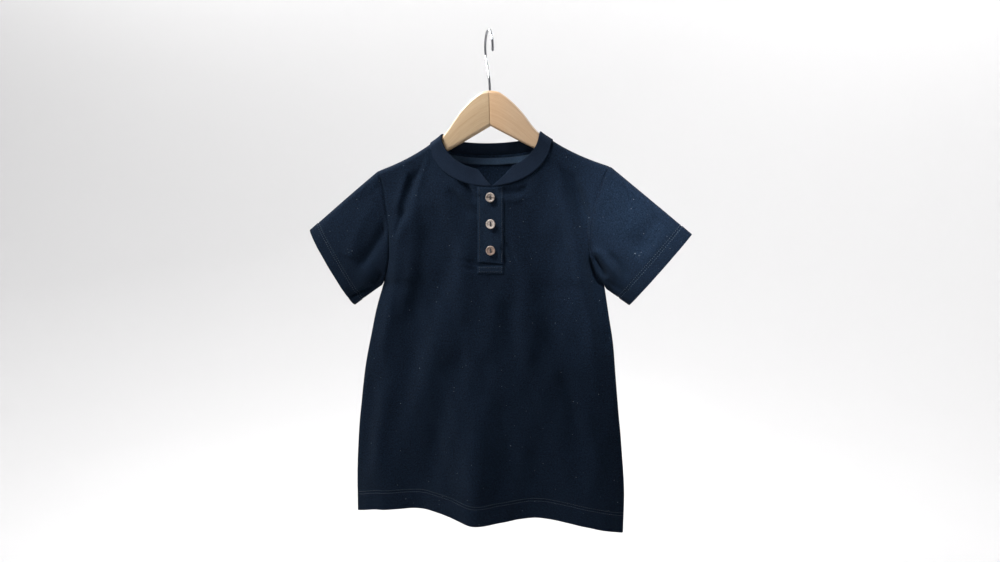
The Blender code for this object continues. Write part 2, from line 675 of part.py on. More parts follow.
def wood_section(x):
    """Rounded section of the hanger's arm at x, as (y, z) points."""
    top, foot = column(WOOD_TOP, x, "z"), column(WOOD_FOOT, x, "z")
    end = math.sqrt(max(1 - max((x - WOOD_REACH + WOOD_NOSE) / WOOD_NOSE, 0.0) ** 2, 0.0))
    middle, half = (top + foot) / 2, (top - foot) / 2 * end
    half_y = WOOD_HALF * (WOOD_TIP_THICK + (1 - WOOD_TIP_THICK) * end)
    round_ = min(WOOD_ROUND, half * 0.8, half_y * 0.8)
    points = []
    for centre_y, centre_z, start in ((half_y, half, 0), (-half_y, half, 90),
                                      (-half_y, -half, 180), (half_y, -half, 270)):
        for step in RIDGE_TURNS:
            turn = math.radians(start + step)
            points.append((centre_y - math.copysign(round_, centre_y) + round_ * math.cos(turn),
                           middle + centre_z - math.copysign(round_, centre_z)
                           + round_ * math.sin(turn)))
    return points


def build_arm(name, side):
    """One half of the wooden hanger, bored for the hook's stem at the joint."""
    bm = bmesh.new()
    rings = [[bm.verts.new(hang((side * x, y, z))) for y, z in wood_section(x)]
             for x in WOOD_STATIONS]
    for near, far in zip(rings, rings[1:]):
        for k in range(len(near)):
            m = (k + 1) % len(near)
            bm.faces.new((near[k], near[m], far[m], far[k]))
    bm.faces.new(rings[0])
    bm.faces.new(rings[-1])
    made = close_mesh(name, "wood", bm)
    bore = WIRE_D / 2 + SEAM_GAP
    depth = STEM_IN_WOOD + SEAM_GAP
    at = hang((0, 0, WOOD_TOP["z"][0] - depth / 2 + 1))
    turn = Matrix.Rotation(math.radians(-TILT_DEG), 4, "Y")
    cut(made, cutter(f"{name}_bore", bore, depth + 2, at, turn))


def hook_route():
    """Middle line of the hook: stem, sweep to the left, turn over the rail."""
    foot = WOOD_TOP["z"][0] - STEM_IN_WOOD
    stem = [(0.0, foot + STEM_STEP * k) for k in range(4)]
    middle = WIRE_D / 2 - HOOK_R
    arc = [(HOOK_R * math.cos(math.radians(a)), middle + HOOK_R * math.sin(math.radians(a)))
           for a in range(HOOK_FROM_DEG, HOOK_TO_DEG, HOOK_STEP_DEG)]
    turn = math.radians(HOOK_TURN_DEG)
    return [hang((h * math.cos(turn), h * math.sin(turn), z))
            for h, z in [*stem, *STEM_SWEEP, *arc]]


def build_hook():
    """Chrome wire hook."""
    curve = bpy.data.curves.new("hanger_hook", "CURVE")
    curve.dimensions = "3D"
    curve.bevel_depth = WIRE_D / 2 * MM
    curve.bevel_resolution = 3
    curve.use_fill_caps = True
    spline = curve.splines.new("POLY")
    route = hook_route()
    spline.points.add(len(route) - 1)
    for point, (x, y, z) in zip(spline.points, route):
        point.co = (x * MM, y * MM, z * MM, 1.0)
    add_object("hanger_hook", curve, "chrome")


def clear_scene():
    """Remove whatever the new file starts with."""
    for old in list(bpy.data.objects):
        bpy.data.objects.remove(old, do_unlink=True)


def main():
    """Build every piece of the shirt and its hanger."""
    clear_scene()
    front, back = build_panel("front"), build_panel("back")
    build_sleeve("sleeve_left", LEFT, front, back)
    build_sleeve("sleeve_right", RIGHT, front, back)
    build_collar()
    build_plackets()
    build_tape()
    for name, z in BUTTON_HEIGHTS.items():
        build_button(name, z)
    build_arm("hanger_arm_left", LEFT)
    build_arm("hanger_arm_right", RIGHT)
    build_hook()


main()
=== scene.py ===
"""Looks of a child's mandarin collar shirt hanging on a wooden hanger.

Every piece is drawn on the shirt's plan: millimetres, x to the viewer's right,
z up, y towards the back, with the inside top of the hook as origin.  The plan
is symmetrical and plumb; `ShirtForm.hang` tilts it with the hanger.  Finished
meshes are in metres.
"""
from __future__ import annotations

import logging
import math
from dataclasses import dataclass
from enum import Enum
from typing import Any, Callable, ClassVar, Iterable, Sequence

import bmesh
import bpy
import numpy as np
from mathutils import Matrix, Vector


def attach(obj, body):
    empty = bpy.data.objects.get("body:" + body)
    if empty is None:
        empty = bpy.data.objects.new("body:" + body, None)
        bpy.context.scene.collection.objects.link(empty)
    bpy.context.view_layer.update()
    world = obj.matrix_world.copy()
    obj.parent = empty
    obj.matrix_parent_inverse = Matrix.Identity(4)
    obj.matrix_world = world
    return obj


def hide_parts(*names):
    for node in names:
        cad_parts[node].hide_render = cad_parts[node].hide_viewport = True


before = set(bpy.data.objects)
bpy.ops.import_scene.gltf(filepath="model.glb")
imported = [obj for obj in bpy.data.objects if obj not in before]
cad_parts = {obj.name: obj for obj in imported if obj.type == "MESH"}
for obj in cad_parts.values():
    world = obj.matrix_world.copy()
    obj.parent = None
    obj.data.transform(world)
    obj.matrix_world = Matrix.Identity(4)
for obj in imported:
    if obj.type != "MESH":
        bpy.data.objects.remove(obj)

LOG = logging.getLogger("shirt")
MM = 0.001
BODY = "root"
UV_SPAN = 700.0         # millimetres of plan across one unit of the cloth's UV map
PLACKET_X = 1.3         # middle of the placket and of its buttons

Array = np.ndarray


class Face(Enum):
    """Which half of the shirt a point is on; the value is the sign of y."""

    FRONT = -1
    BACK = 1


class Side(Enum):
    """Which sleeve or side, as the viewer sees it; the value is the sign of x."""

    LEFT = -1
    RIGHT = 1


# ---- maths on arrays ------------------------------------------------------------
def smooth(t: Array | float) -> Array:
    """Ease from 0 to 1."""
    t = np.clip(t, 0.0, 1.0)
    return t * t * (3 - 2 * t)


def bell(t: Array | float) -> Array:
    """Soft hump, 1 at 0 and nearly 0 past 2."""
    return np.exp(-np.square(t))


def unit(vectors: Array) -> Array:
    """Vectors scaled to length 1."""
    return vectors / np.linalg.norm(vectors, axis=-1, keepdims=True)


def spans(points: Array, axis: int = 0) -> Array:
    """Distances between neighbouring points along an axis."""
    return np.linalg.norm(np.diff(points, axis=axis), axis=-1)


def running(steps: Array) -> Array:
    """Length run at each point, from 0, out of the steps between them."""
    return np.concatenate([[0], np.cumsum(steps)])


def closed(rings: Array) -> Array:
    """Rings with their first point repeated at the end."""
    return np.concatenate([rings, rings[:, :1]], axis=1)


@dataclass(frozen=True)
class Profile:
    """Smooth curve through a few (where, value) pairs, with no overshoot.

    Args:
        pairs: the pairs, in rising or falling order of `where`.
    """

    pairs: tuple[tuple[float, float], ...]

    def __call__(self, where: Array | float) -> Array:
        """Value at each place.

        Args:
            where: places along the curve; past its ends the end values hold.

        Returns:
            The values, in the shape of `where`.
        """
        table = np.array(sorted(self.pairs), float)
        keys, values = table[:, 0], table[:, 1]
        steps, rises = np.diff(keys), np.diff(values)
        slopes = rises / steps
        inner = np.zeros(len(keys))
        inner[0], inner[-1] = slopes[0], slopes[-1]
        before, after = slopes[:-1], slopes[1:]
        same = before * after > 0
        total = np.where(same, before + after, 1.0)
        inner[1:-1] = np.where(same, 2 * before * after / total, 0.0)
        spot = np.clip(np.asarray(where, float), keys[0], keys[-1])
        i = np.clip(np.searchsorted(keys, spot, side="right") - 1, 0, len(steps) - 1)
        t = (spot - keys[i]) / steps[i]
        return (values[i] * (1 + 2 * t) * (1 - t) ** 2 + values[i + 1] * t * t * (3 - 2 * t)
                + steps[i] * t * (1 - t) * ((1 - t) * inner[i] - t * inner[i + 1]))


def profile(table: Sequence[Sequence[float]], name: int) -> Profile:
    """Profile of one column of a table against its first column."""
    return Profile(tuple((float(row[0]), float(row[name])) for row in table))


def ripple(x: Array, z: Array, waves: Sequence[tuple[float, float, float, float]]) -> Array:
    """Sum of long soft waves.

    Args:
        x, z: plan points.
        waves: (height, wavelength across, wavelength down, phase) of each.

    Returns:
        The heights.
    """
    total = np.zeros(np.broadcast(x, z).shape)
    for height, across, down, phase in waves:
        total += height * np.sin(2 * math.pi * (x / across + z / down) + phase)
    return total


# ---- the shirt's form -------------------------------------------------------------
# Upper edge of the hanger: x, z.
WOOD_TOP = ((0, -67.0), (9, -68.6), (18, -73.8), (27, -81.6), (35, -89.8), (42, -98.6),
            (48, -106.9), (54, -114.0), (60, -120.0), (72, -128.2), (86, -136.8),
            (104, -146.0), (120, -152.8), (138, -159.4))
# Lower edge of the hanger: x, z.
WOOD_FOOT = ((0, -108.0), (27, -122.5), (50, -134.5), (80, -149.0), (110, -161.5),
             (131, -169.0))
# Side seams below the arm: z, half-width on the left, on the right.
SIDES = ((-296, 136.5, 134.5), (-330, 145.5, 141.5), (-363, 151.5, 148.5),
         (-402, 158.5, 153.5), (-446, 164.5, 158.0), (-489, 169.5, 162.5),
         (-555, 173.5, 167.0), (-600, 174.0, 166.5))
# Armhole, shoulder tip (0) to underarm (1): part, x in front, x behind, stand-off.
ARMHOLE = ((0.00, 137.0, 137.0, 0.2), (0.12, 131.5, 134.0, 7.5), (0.25, 127.5, 131.0, 9.5),
           (0.40, 123.5, 129.0, 11.0), (0.55, 121.5, 128.0, 12.0), (0.70, 122.0, 128.5, 12.0),
           (0.82, 125.0, 130.0, 10.5), (0.92, 130.0, 132.5, 7.0), (1.00, 135.5, 135.5, 0.2))
# Stand-off of the panels down their middle: z, front, back.
BULGE = ((-110, 8.0, 8.0), (-145, 12.0, 13.0), (-178, 15.5, 15.0), (-230, 18.0, 16.5),
         (-300, 19.0, 17.5), (-420, 20.0, 18.0), (-600, 22.0, 20.0))
# Lower edge: part of the half-width, front and back out of plane, front and back z.
HEM_WAVE = ((-1.00, 0, 0, -596, -596), (-0.80, 3, -4, -587, -590), (-0.48, -9, 6, -583, -588),
            (-0.28, 0, 5, -586, -587), (-0.07, 14, -7, -590, -588), (0.12, 2, -6, -587, -589),
            (0.38, -9, 7, -582, -588), (0.62, -2, 4, -585, -588), (0.85, 3, -5, -591, -592),
            (1.00, 0, 0, -597, -597))


@dataclass(frozen=True)
class Crease:
    """One fold of the cloth.

    Args:
        place: "front", "back", "left" or "right" (a sleeve).
        height: out of plane in mm, up for a ridge and down for a trough.
        half: half-width in mm.
        route: plan points along it.
        lap: how much steeper its left side is, from -1 to 1.
        near: it runs on close to the seams.
    """

    place: str
    height: float
    half: float
    route: tuple[tuple[float, float], ...]
    lap: float = 0.0
    near: bool = False

    RISE: ClassVar[tuple[float, float]] = (0.22, 0.25)  # part of the length, start of the ease
    FALL: ClassVar[tuple[float, float]] = (0.30, 0.10)

    def stand(self, x: Array, z: Array) -> Array:
        """Height of the fold at plan points."""
        best = np.full(np.broadcast(x, z).shape, 1e9)
        along = np.zeros_like(best)
        side = np.zeros_like(best)
        run = 0.0
        for (ax, az), (bx, bz) in zip(self.route, self.route[1:]):
            dx, dz = bx - ax, bz - az
            length = math.hypot(dx, dz)
            t = np.clip(((x - ax) * dx + (z - az) * dz) / length ** 2, 0, 1)
            off_x, off_z = x - ax - t * dx, z - az - t * dz
            away = np.hypot(off_x, off_z)
            nearer = away < best
            best = np.where(nearer, away, best)
            along = np.where(nearer, run + t * length, along)
            side = np.where(nearer, (off_x * dz - off_z * dx) / length, side)
            run += length
        half = self.half * (1 + self.lap * np.tanh(side / self.half))
        ends = (smooth(along / (self.RISE[0] * run) + self.RISE[1])
                * smooth((run - along) / (self.FALL[0] * run) + self.FALL[1]))
        return self.height * ends * bell(best / half)


# Folds that the solids have too: place, height, half-width, route in x, z.
MAIN_FOLDS = (
    ("front", -4.5, 8.0, ((-85, -138), (-94, -165), (-105, -201), (-116, -226))),
    ("front", 3.5, 9.0, ((-108, -212), (-118, -243), (-121, -279), (-128, -330), (-138, -400))),
    ("front", -5.5, 8.5, ((83, -129), (92, -175), (101, -202), (114, -242), (126, -298),
                          (140, -345))),
    ("front", 4.0, 9.0, ((108, -236), (118, -272), (129, -310), (142, -370))),
    ("front", -4.0, 17.0, ((-76, -206), (-83, -262), (-92, -322), (-104, -420), (-112, -500))),
    ("front", -3.5, 18.0, ((70, -227), (74, -309), (84, -400))),
    ("front", -4.0, 15.0, ((-38, -370), (-50, -410), (-60, -480), (-66, -560))),
    ("front", 3.5, 16.0, ((-12, -430), (-10, -500), (-12, -570))),
    ("back", -5.0, 10.0, ((-90, -150), (-108, -230), (-126, -330))),
    ("back", -5.0, 9.0, ((84, -150), (104, -235), (126, -345))),
    ("back", -4.0, 20.0, ((12, -230), (4, -380), (-18, -520))),
    ("back", 3.5, 16.0, ((-62, -300), (-70, -420), (-80, -540))),
    ("back", 3.5, 15.0, ((64, -320), (74, -440), (80, -560))),
    ("left", -3.0, 9.0, ((-146, -185), (-156, -215), (-160, -250), (-166, -280))),
    ("right", -3.0, 10.0, ((196, -212), (180, -232), (165, -262))),
    ("right", 3.5, 8.0, ((124, -262), (140, -278), (152, -296))),
)

# Smaller creases: the same, and the lap where there is one.
SMALL_CREASES = (
    # pull of the placket towards the left shoulder
    ("front", -3.2, 3.4, ((-36, -166), (-29, -175), (-22, -186), (-16, -198)), 0.3),
    ("front", 1.8, 3.4, ((-25, -170), (-19, -180), (-12, -190))),
    ("front", -2.7, 4.6, ((-50, -180), (-37, -195), (-27, -206), (-18, -213)), 0.3),
    ("front", 2.4, 4.0, ((-36, -180), (-26, -192), (-17, -203))),
    # below the collar on the right of the placket
    ("front", -1.8, 4.6, ((10, -182), (22, -184), (36, -184), (50, -176)), 0.2),
    ("front", 1.5, 4.0, ((16, -191), (30, -194), (44, -188))),
    # fan at the placket's foot
    ("front", -1.6, 2.4, ((14, -246), (18, -258), (22, -272))),
    ("front", -1.3, 2.2, ((19, -243), (26, -254), (33, -266))),
    ("front", -1.4, 2.4, ((-36, -262), (-25, -266), (-15, -271))),
    ("front", -1.1, 2.2, ((-34, -271), (-25, -274), (-16, -277))),
    # left shoulder and armhole
    ("front", 1.8, 4.6, ((-76, -140), (-84, -165), (-96, -200))),
    ("front", -2.6, 3.6, ((-106, -204), (-113, -222), (-117, -236)), -0.4),
    ("front", 2.2, 4.2, ((-98, -150), (-108, -180), (-118, -212)), 0.3),
    # right shoulder and armhole
    ("front", 2.0, 4.5, ((74, -133), (84, -165), (90, -190))),
    ("front", -3.0, 4.0, ((90, -137), (95, -160), (100, -180), (106, -205)), 0.3),
    ("front", -8.0, 8.0, ((100, -176), (114, -229), (124, -275), (138, -319), (145, -362))),
    ("front", -10.0, 7.0, ((116, -258), (127, -290), (135, -330), (142, -372)), 0.3),
    ("front", -3.0, 9.0, ((108, -236), (118, -272), (129, -310), (142, -370))),
    ("front", 4.2, 10.0, ((84, -185), (97, -229), (106, -275), (118, -319), (127, -362),
                          (134, -410)), -0.2),
    # long soft drops
    ("front", 2.4, 12.0, ((-30, -235), (-32, -320), (-40, -400))),
    ("front", -2.2, 10.0, ((-30, -330), (-34, -370), (-30, -440))),
    ("front", 2.0, 11.0, ((40, -240), (44, -330), (52, -430))),
    ("front", -2.4, 12.0, ((96, -390), (104, -440), (112, -520))),
    ("front", 2.4, 12.0, ((120, -440), (130, -490), (136, -550))),
    ("front", -2.4, 13.0, ((20, -430), (28, -500), (34, -560))),
    ("front", 2.2, 10.0, ((-128, -420), (-138, -490), (-142, -560))),
    ("front", -2.2, 9.0, ((-144, -410), (-154, -480), (-158, -550))),
    # the broad drops on either side of the placket
    ("front", -4.5, 24.0, ((-78, -195), (-64, -242), (-57, -266), (-68, -302), (-82, -338),
                           (-95, -390), (-104, -450)), 0.3),
    ("front", 2.6, 17.0, ((-76, -206), (-83, -262), (-92, -322))),
    ("front", 3.5, 13.0, ((-90, -180), (-97, -218), (-96, -250), (-98, -280), (-106, -310),
                          (-118, -350)), 0.2),
    ("front", 1.8, 11.0, ((4, -300), (8, -340), (2, -390))),
    ("front", -1.8, 9.0, ((30, -305), (30, -345), (26, -385))),
    ("front", 1.6, 10.0, ((56, -315), (57, -345), (50, -390))),
    ("back", -2.7, 5.0, ((-60, -150), (-78, -185), (-92, -220)), 0.2),
    ("back", 2.4, 5.0, ((56, -152), (74, -190), (88, -226))),
    ("back", -3.0, 5.0, ((-112, -232), (-118, -270), (-128, -310)), -0.3),
    ("back", -2.7, 6.0, ((110, -240), (118, -290), (132, -340)), 0.2),
    ("back", -3.0, 12.0, ((-36, -260), (-44, -380), (-52, -500))),
    ("back", 2.7, 12.0, ((30, -300), (38, -420), (40, -540))),
    ("back", -2.7, 12.0, ((98, -380), (110, -470), (116, -560))),
    ("back", -2.7, 11.0, ((-110, -390), (-122, -480), (-128, -560))),
    # left sleeve: the drop from the shoulder runs on, the lower edge folds over
    ("left", -4.5, 8.0, ((-118, -206), (-132, -229), (-150, -256), (-170, -282))),
    ("left", 2.0, 9.0, ((-150, -198), (-168, -234), (-184, -268))),
    ("left", 2.2, 9.0, ((-146, -185), (-156, -215), (-160, -250), (-166, -280))),
    ("left", 1.4, 2.4, ((-133, -164), (-146, -176), (-153, -190))),
    ("left", 0.9, 2.2, ((-196, -254), (-184, -259), (-170, -262))),
    ("left", -9.0, 2.4, ((-182, -315), (-163, -305), (-146, -297)), 0.3),
    ("left", -8.0, 3.4, ((-149, -297), (-142, -289), (-137, -280))),
    # right sleeve: short folds that start under the arm
    ("right", -7.5, 4.0, ((119, -260), (128, -269), (138, -284)), 0.2),
    ("right", 4.4, 4.0, ((121, -250), (133, -259), (144, -273), (152, -286))),
    ("right", -2.6, 4.6, ((138, -256), (150, -268), (160, -284))),
    ("right", 1.6, 5.0, ((146, -176), (150, -210), (146, -240))),
    ("right", -1.8, 8.0, ((156, -234), (172, -244), (188, -254))),
    ("right", 1.6, 6.0, ((206, -226), (192, -246), (180, -272))),
    ("right", -2.4, 3.4, ((136, -286), (150, -296), (164, -304)), 0.2),
)
CREASES = (tuple(Crease(*row) for row in MAIN_FOLDS)
           + tuple(Crease(*row, near=True) for row in SMALL_CREASES))


@dataclass(frozen=True)
class ShirtForm:
    """Plan of the whole garment: outline, stand-off, folds and tilt."""

    tilt_deg: float = 1.3           # the hanger hangs a little down to the left
    plumb_from: float = -200.0      # the tilt fades out between these heights
    plumb_below: float = -420.0
    shoulder_x: float = 137.0
    shoulder_z: float = -156.8
    neck_x: float = 72.0
    neck_drop_front: float = 51.3
    neck_drop_back: float = 17.5
    underarm_z: float = -296.0
    chest_half: float = 135.5
    ridge_half: float = 7.4         # half-section of the cloth over the wood
    ridge_clear: float = 2.2        # cloth's outer face above the wood
    wood_reach: float = 131.0
    swell_over: float = 80.0        # the stand-off reaches its own value this far below it
    slack_from: float = 4.0         # the folds start this far below it
    slack_over: float = 22.0        # and have their full height this much lower
    wood_over: float = 25.0         # the cloth closes in this far below the wood
    lens_power: float = 2.2         # roundness of the panel from side to side
    lens_round: float = 0.62
    wave_fades_z: float = -400.0    # the hem's waves reach up to here
    hem_z: float = -596.0
    wave_edge: float = 0.1          # they fade out this near the side seams
    arm_shift: float = 4.5          # the front armhole pulls over to the left
    tip_part: float = 0.12          # its edge stands off evenly down to this part of it
    main_fade: float = 0.18         # the folds fade out this near a seam
    small_fade: float = 0.05
    cloth: float = 0.9              # wall of the jersey as drawn here

    def hang(self, points: Array) -> Array:
        """Tilt plan points with the hanger; lower down the cloth hangs plumb.

        Args:
            points: plan points, last axis x, y, z.

        Returns:
            Points in the object's frame, still in millimetres.
        """
        x, y, z = points[..., 0], points[..., 1], points[..., 2]
        fade = smooth((self.plumb_from - z) / (self.plumb_from - self.plumb_below))
        turn = math.radians(self.tilt_deg) * (1 - fade)
        return np.stack((x * np.cos(turn) - z * np.sin(turn), y,
                         z * np.cos(turn) + x * np.sin(turn)), axis=-1)

    def ridge_z(self, x: Array | float) -> Array:
        """Height of the cloth where it goes over the hanger at x."""
        return WOOD_TOP_Z(np.minimum(np.abs(x), self.shoulder_x)) + self.ridge_clear

    def over_wood(self, drop: Array | float) -> Array:
        """Part of the ridge's half-thickness reached `drop` below its top."""
        return np.sqrt(1 - (1 - np.clip(np.asarray(drop) / self.ridge_half, 0, 1)) ** 2)

    def arm_x(self, part: Array, sign: Array, face: Face) -> Array:
        """Half-width at the armhole, `part` of the way down, on side `sign`."""
        if face is Face.BACK:
            return ARM_BACK_X(part)
        return ARM_FRONT_X(part) - self.arm_shift * sign * np.sin(math.pi * np.clip(part, 0, 1))

    def side_x(self, z: Array, sign: Array) -> Array:
        """Half-width of the body below the underarm."""
        return np.where(sign < 0, SIDE_LEFT_X(z), SIDE_RIGHT_X(z))

    def edge_stand(self, z: Array) -> Array:
        """How far a panel's side edge stands off the middle plane."""
        part = (self.shoulder_z - z) / (self.shoulder_z - self.underarm_z)
        return np.where(part >= 1, ARM_STAND(1.0), ARM_STAND(np.clip(part, self.tip_part, 1)))

    def folds(self, place: str, x: Array, z: Array, inward: Array | float = 1.0) -> Array:
        """Sum of the creases of one place and of the cloth's faint unevenness.

        Args:
            place: "front", "back", "left" or "right".
            x, z: plan points.
            inward: how far from the seams they are, as part of the half-width.

        Returns:
            Millimetres out of plane, none at the seams.
        """
        x, z = np.broadcast_arrays(x, z)
        far, near = smooth(inward / self.main_fade), smooth(inward / self.small_fade)
        total = sum((near if crease.near else far) * crease.stand(x, z)
                    for crease in CREASES if crease.place == place)
        return total + far * ripple(x, z, UNEVEN[place])

    def stand(self, face: Face, x: Array, z: Array, across: Array) -> Array:
        """Distance of a panel's outer face from the middle plane.

        Args:
            face: front or back.
            x, z: plan points.
            across: part of the half-width there, from -1 to 1.

        Returns:
            The distances in millimetres.
        """
        x, z, across = np.broadcast_arrays(*map(np.asarray, (x, z, across)))
        inward = 1 - np.abs(across)
        lens = np.maximum(1 - np.abs(across) ** self.lens_power, 0) ** self.lens_round
        edge = self.edge_stand(z)
        drop = self.ridge_z(x) - z
        full = edge + (BULGE_OUT[face](z) - edge) * lens
        grown = self.ridge_half + (full - self.ridge_half) * smooth(drop / self.swell_over)
        grown = np.where((z < self.shoulder_z) & (inward < 0.001), full, grown)
        low = smooth((self.wave_fades_z - z) / (self.wave_fades_z - self.hem_z))
        loose = smooth((drop - self.slack_from) / self.slack_over)
        grown = grown + low * HEM_OUT[face](across) * smooth(inward / self.wave_edge)
        grown = grown + loose * self.folds(face.name.lower(), x, z, inward)
        below = WOOD_FOOT_Z(np.minimum(np.abs(x), self.wood_reach)) - z
        floor = self.ridge_half * (1 - smooth(below / self.wood_over))
        return self.over_wood(drop) * np.maximum(grown, floor)

    def neck_drop(self, face: Face) -> float:
        """Depth of the neckline under the shoulder's neck point."""
        return self.neck_drop_front if face is Face.FRONT else self.neck_drop_back

    def neck_edge(self, turn: Array, half: float | Array,
                  drop: float | Array) -> tuple[Array, Array]:
        """Plan x, z of an oval neck edge, `turn` radians from the shoulder."""
        return half * np.cos(turn), self.ridge_z(half) - drop * np.sin(turn)

    def neck_z(self, x: Array | float, face: Face = Face.FRONT) -> Array:
        """Height of the neck seam at x."""
        turn = np.arccos(np.clip(np.asarray(x, float) / self.neck_x, -1, 1))
        return self.neck_edge(turn, self.neck_x, self.neck_drop(face))[1]

    def on_face(self, face: Face, x: Array, z: Array, lift: Array | float = 0.0) -> Array:
        """Plan points `lift` outside a panel's outer face."""
        x, z = np.broadcast_arrays(np.asarray(x, float), np.asarray(z, float))
        depth = self.stand(face, x, z, x / self.shoulder_x) + lift
        return np.stack((x, face.value * depth, z), axis=-1)


WOOD_TOP_Z, WOOD_FOOT_Z = profile(WOOD_TOP, 1), profile(WOOD_FOOT, 1)
SIDE_LEFT_X, SIDE_RIGHT_X = profile(SIDES, 1), profile(SIDES, 2)
ARM_FRONT_X, ARM_BACK_X, ARM_STAND = (profile(ARMHOLE, k) for k in (1, 2, 3))
BULGE_OUT = {face: profile(BULGE, k) for k, face in enumerate(Face, 1)}
HEM_OUT = {face: profile(HEM_WAVE, k) for k, face in enumerate(Face, 1)}
HEM_Z = {face: profile(HEM_WAVE, k) for k, face in enumerate(Face, 3)}
# Faint unevenness: height, wavelength across, wavelength down, phase of each wave.
UNEVEN = {
    "front": ((0.35, 63, 210, 0.3), (0.28, -47, 160, 1.9), (0.22, 31, -97, 4.0),
              (0.16, 23, 71, 2.2)),
    "back": ((0.35, 71, -190, 1.1), (0.28, 43, 170, 0.2), (0.22, -29, 101, 3.0),
             (0.16, 21, -67, 5.2)),
    "left": ((0.30, 44, 90, 0.0), (0.22, -27, 60, 1.3)),
    "right": ((0.30, 48, -85, 0.9), (0.22, 25, 66, 2.3)),
}
FORM = ShirtForm()


# ---- finishes --------------------------------------------------------------------------
class Sock:
    """Output socket of a material, on which arithmetic adds Math nodes."""

    def __init__(self, tree: Tree, socket: bpy.types.NodeSocket) -> None:
        """Wrap one socket of one tree."""
        self.tree, self.socket = tree, socket

    def math(self, operation: str, *values: Any) -> Sock:
        """Result of one Math operation on the given values or sockets."""
        return self.tree.node("Math", {"operation": operation}, dict(enumerate(values)))

    def __add__(self, other: Any) -> Sock:
        """Sum."""
        return self.math("ADD", self, other)

    __radd__ = __add__

    def __sub__(self, other: Any) -> Sock:
        """Difference."""
        return self.math("SUBTRACT", self, other)

    def __rsub__(self, other: Any) -> Sock:
        """Difference the other way round."""
        return self.math("SUBTRACT", other, self)

    def __mul__(self, other: Any) -> Sock:
        """Product."""
        return self.math("MULTIPLY", self, other)

    __rmul__ = __mul__

    def __truediv__(self, other: Any) -> Sock:
        """Quotient."""
        return self.math("DIVIDE", self, other)

    def __pow__(self, other: Any) -> Sock:
        """Power."""
        return self.math("POWER", self, other)

    def sine(self) -> Sock:
        """Sine."""
        return self.math("SINE", self)

    def size(self) -> Sock:
        """Size without its sign."""
        return self.math("ABSOLUTE", self)

    def above(self, low: float, high: float) -> Sock:
        """Ease from 0 at `low` to 1 at `high`."""
        return self.tree.node("MapRange", {"interpolation_type": "SMOOTHSTEP"},
                              {"Value": self, "From Min": low, "From Max": high})


class Tree:
    """Node tree of one material, filled through `node`."""

    def __init__(self, name: str) -> None:
        """Start a material with its Principled shader."""
        self.material = bpy.data.materials.new(name)
        self.material.use_nodes = True
        self.nodes = self.material.node_tree.nodes
        self.shader = self.nodes["Principled BSDF"]

    def node(self, kind: str, settings: dict[str, Any] | None = None,
             sockets: dict[str | int, Any] | None = None, out: str | int = 0) -> Sock:
        """Add one shader node.

        Args:
            kind: its type, without the ShaderNode that they all start with.
            settings: what is set on the node first.
            sockets: a value or a Sock for each named or numbered input.
            out: which output to hand back.

        Returns:
            That output.
        """
        made = self.nodes.new(f"ShaderNode{kind}")
        for key, value in (settings or {}).items():
            setattr(made, key, value)
        for key, value in (sockets or {}).items():
            self.feed(made.inputs[key], value)
        return Sock(self, made.outputs[out])

    def feed(self, target: bpy.types.NodeSocket, value: Any) -> None:
        """Link a Sock, or set a plain value, on an input."""
        if isinstance(value, Sock):
            self.material.node_tree.links.new(value.socket, target)
        elif isinstance(value, tuple) and len(value) == 3 and target.type == "RGBA":
            target.default_value = (*value, 1.0)
        else:
            target.default_value = value

    def principled(self, **sockets: Any) -> bpy.types.Material:
        """Feed the Principled shader; underscores stand for spaces."""
        for key, value in sockets.items():
            self.feed(self.shader.inputs[key.replace("_", " ")], value)
        return self.material

    def mix(self, factor: Any, first: Any, second: Any, blend: str = "MIX") -> Sock:
        """Mix of two colours."""
        return self.node("Mix", {"data_type": "RGBA", "blend_type": blend, "clamp_factor": True},
                         {0: factor, 6: first, 7: second}, out=2)

    def cloth_mm(self) -> Sock:
        """The cloth's own coordinates, in millimetres."""
        uv = self.node("UVMap", {"uv_map": "cloth"})
        return self.node("VectorMath", {"operation": "SCALE"}, {0: uv, "Scale": UV_SPAN})

    def stretched(self, vector: Sock, scale: tuple[float, float, float]) -> Sock:
        """Coordinates scaled by a Mapping node."""
        return self.node("Mapping", {}, {"Vector": vector, "Scale": scale})

    def noise(self, vector: Sock, scale: float, detail: float = 2.0, rough: float = 0.5) -> Sock:
        """Noise about 0.5 at a number of cells to the unit."""
        return self.node("TexNoise", {}, {"Vector": vector, "Scale": scale, "Detail": detail,
                                          "Roughness": rough})

    def value(self, name: str) -> Sock:
        """A number stored on the mesh's points."""
        return self.node("Attribute", {"attribute_name": name}, out="Fac")

    def bump(self, height: Sock, distance: float) -> Sock:
        """Normal of a relief whose full height is `distance` metres."""
        return self.node("Bump", {}, {"Height": height, "Distance": distance})


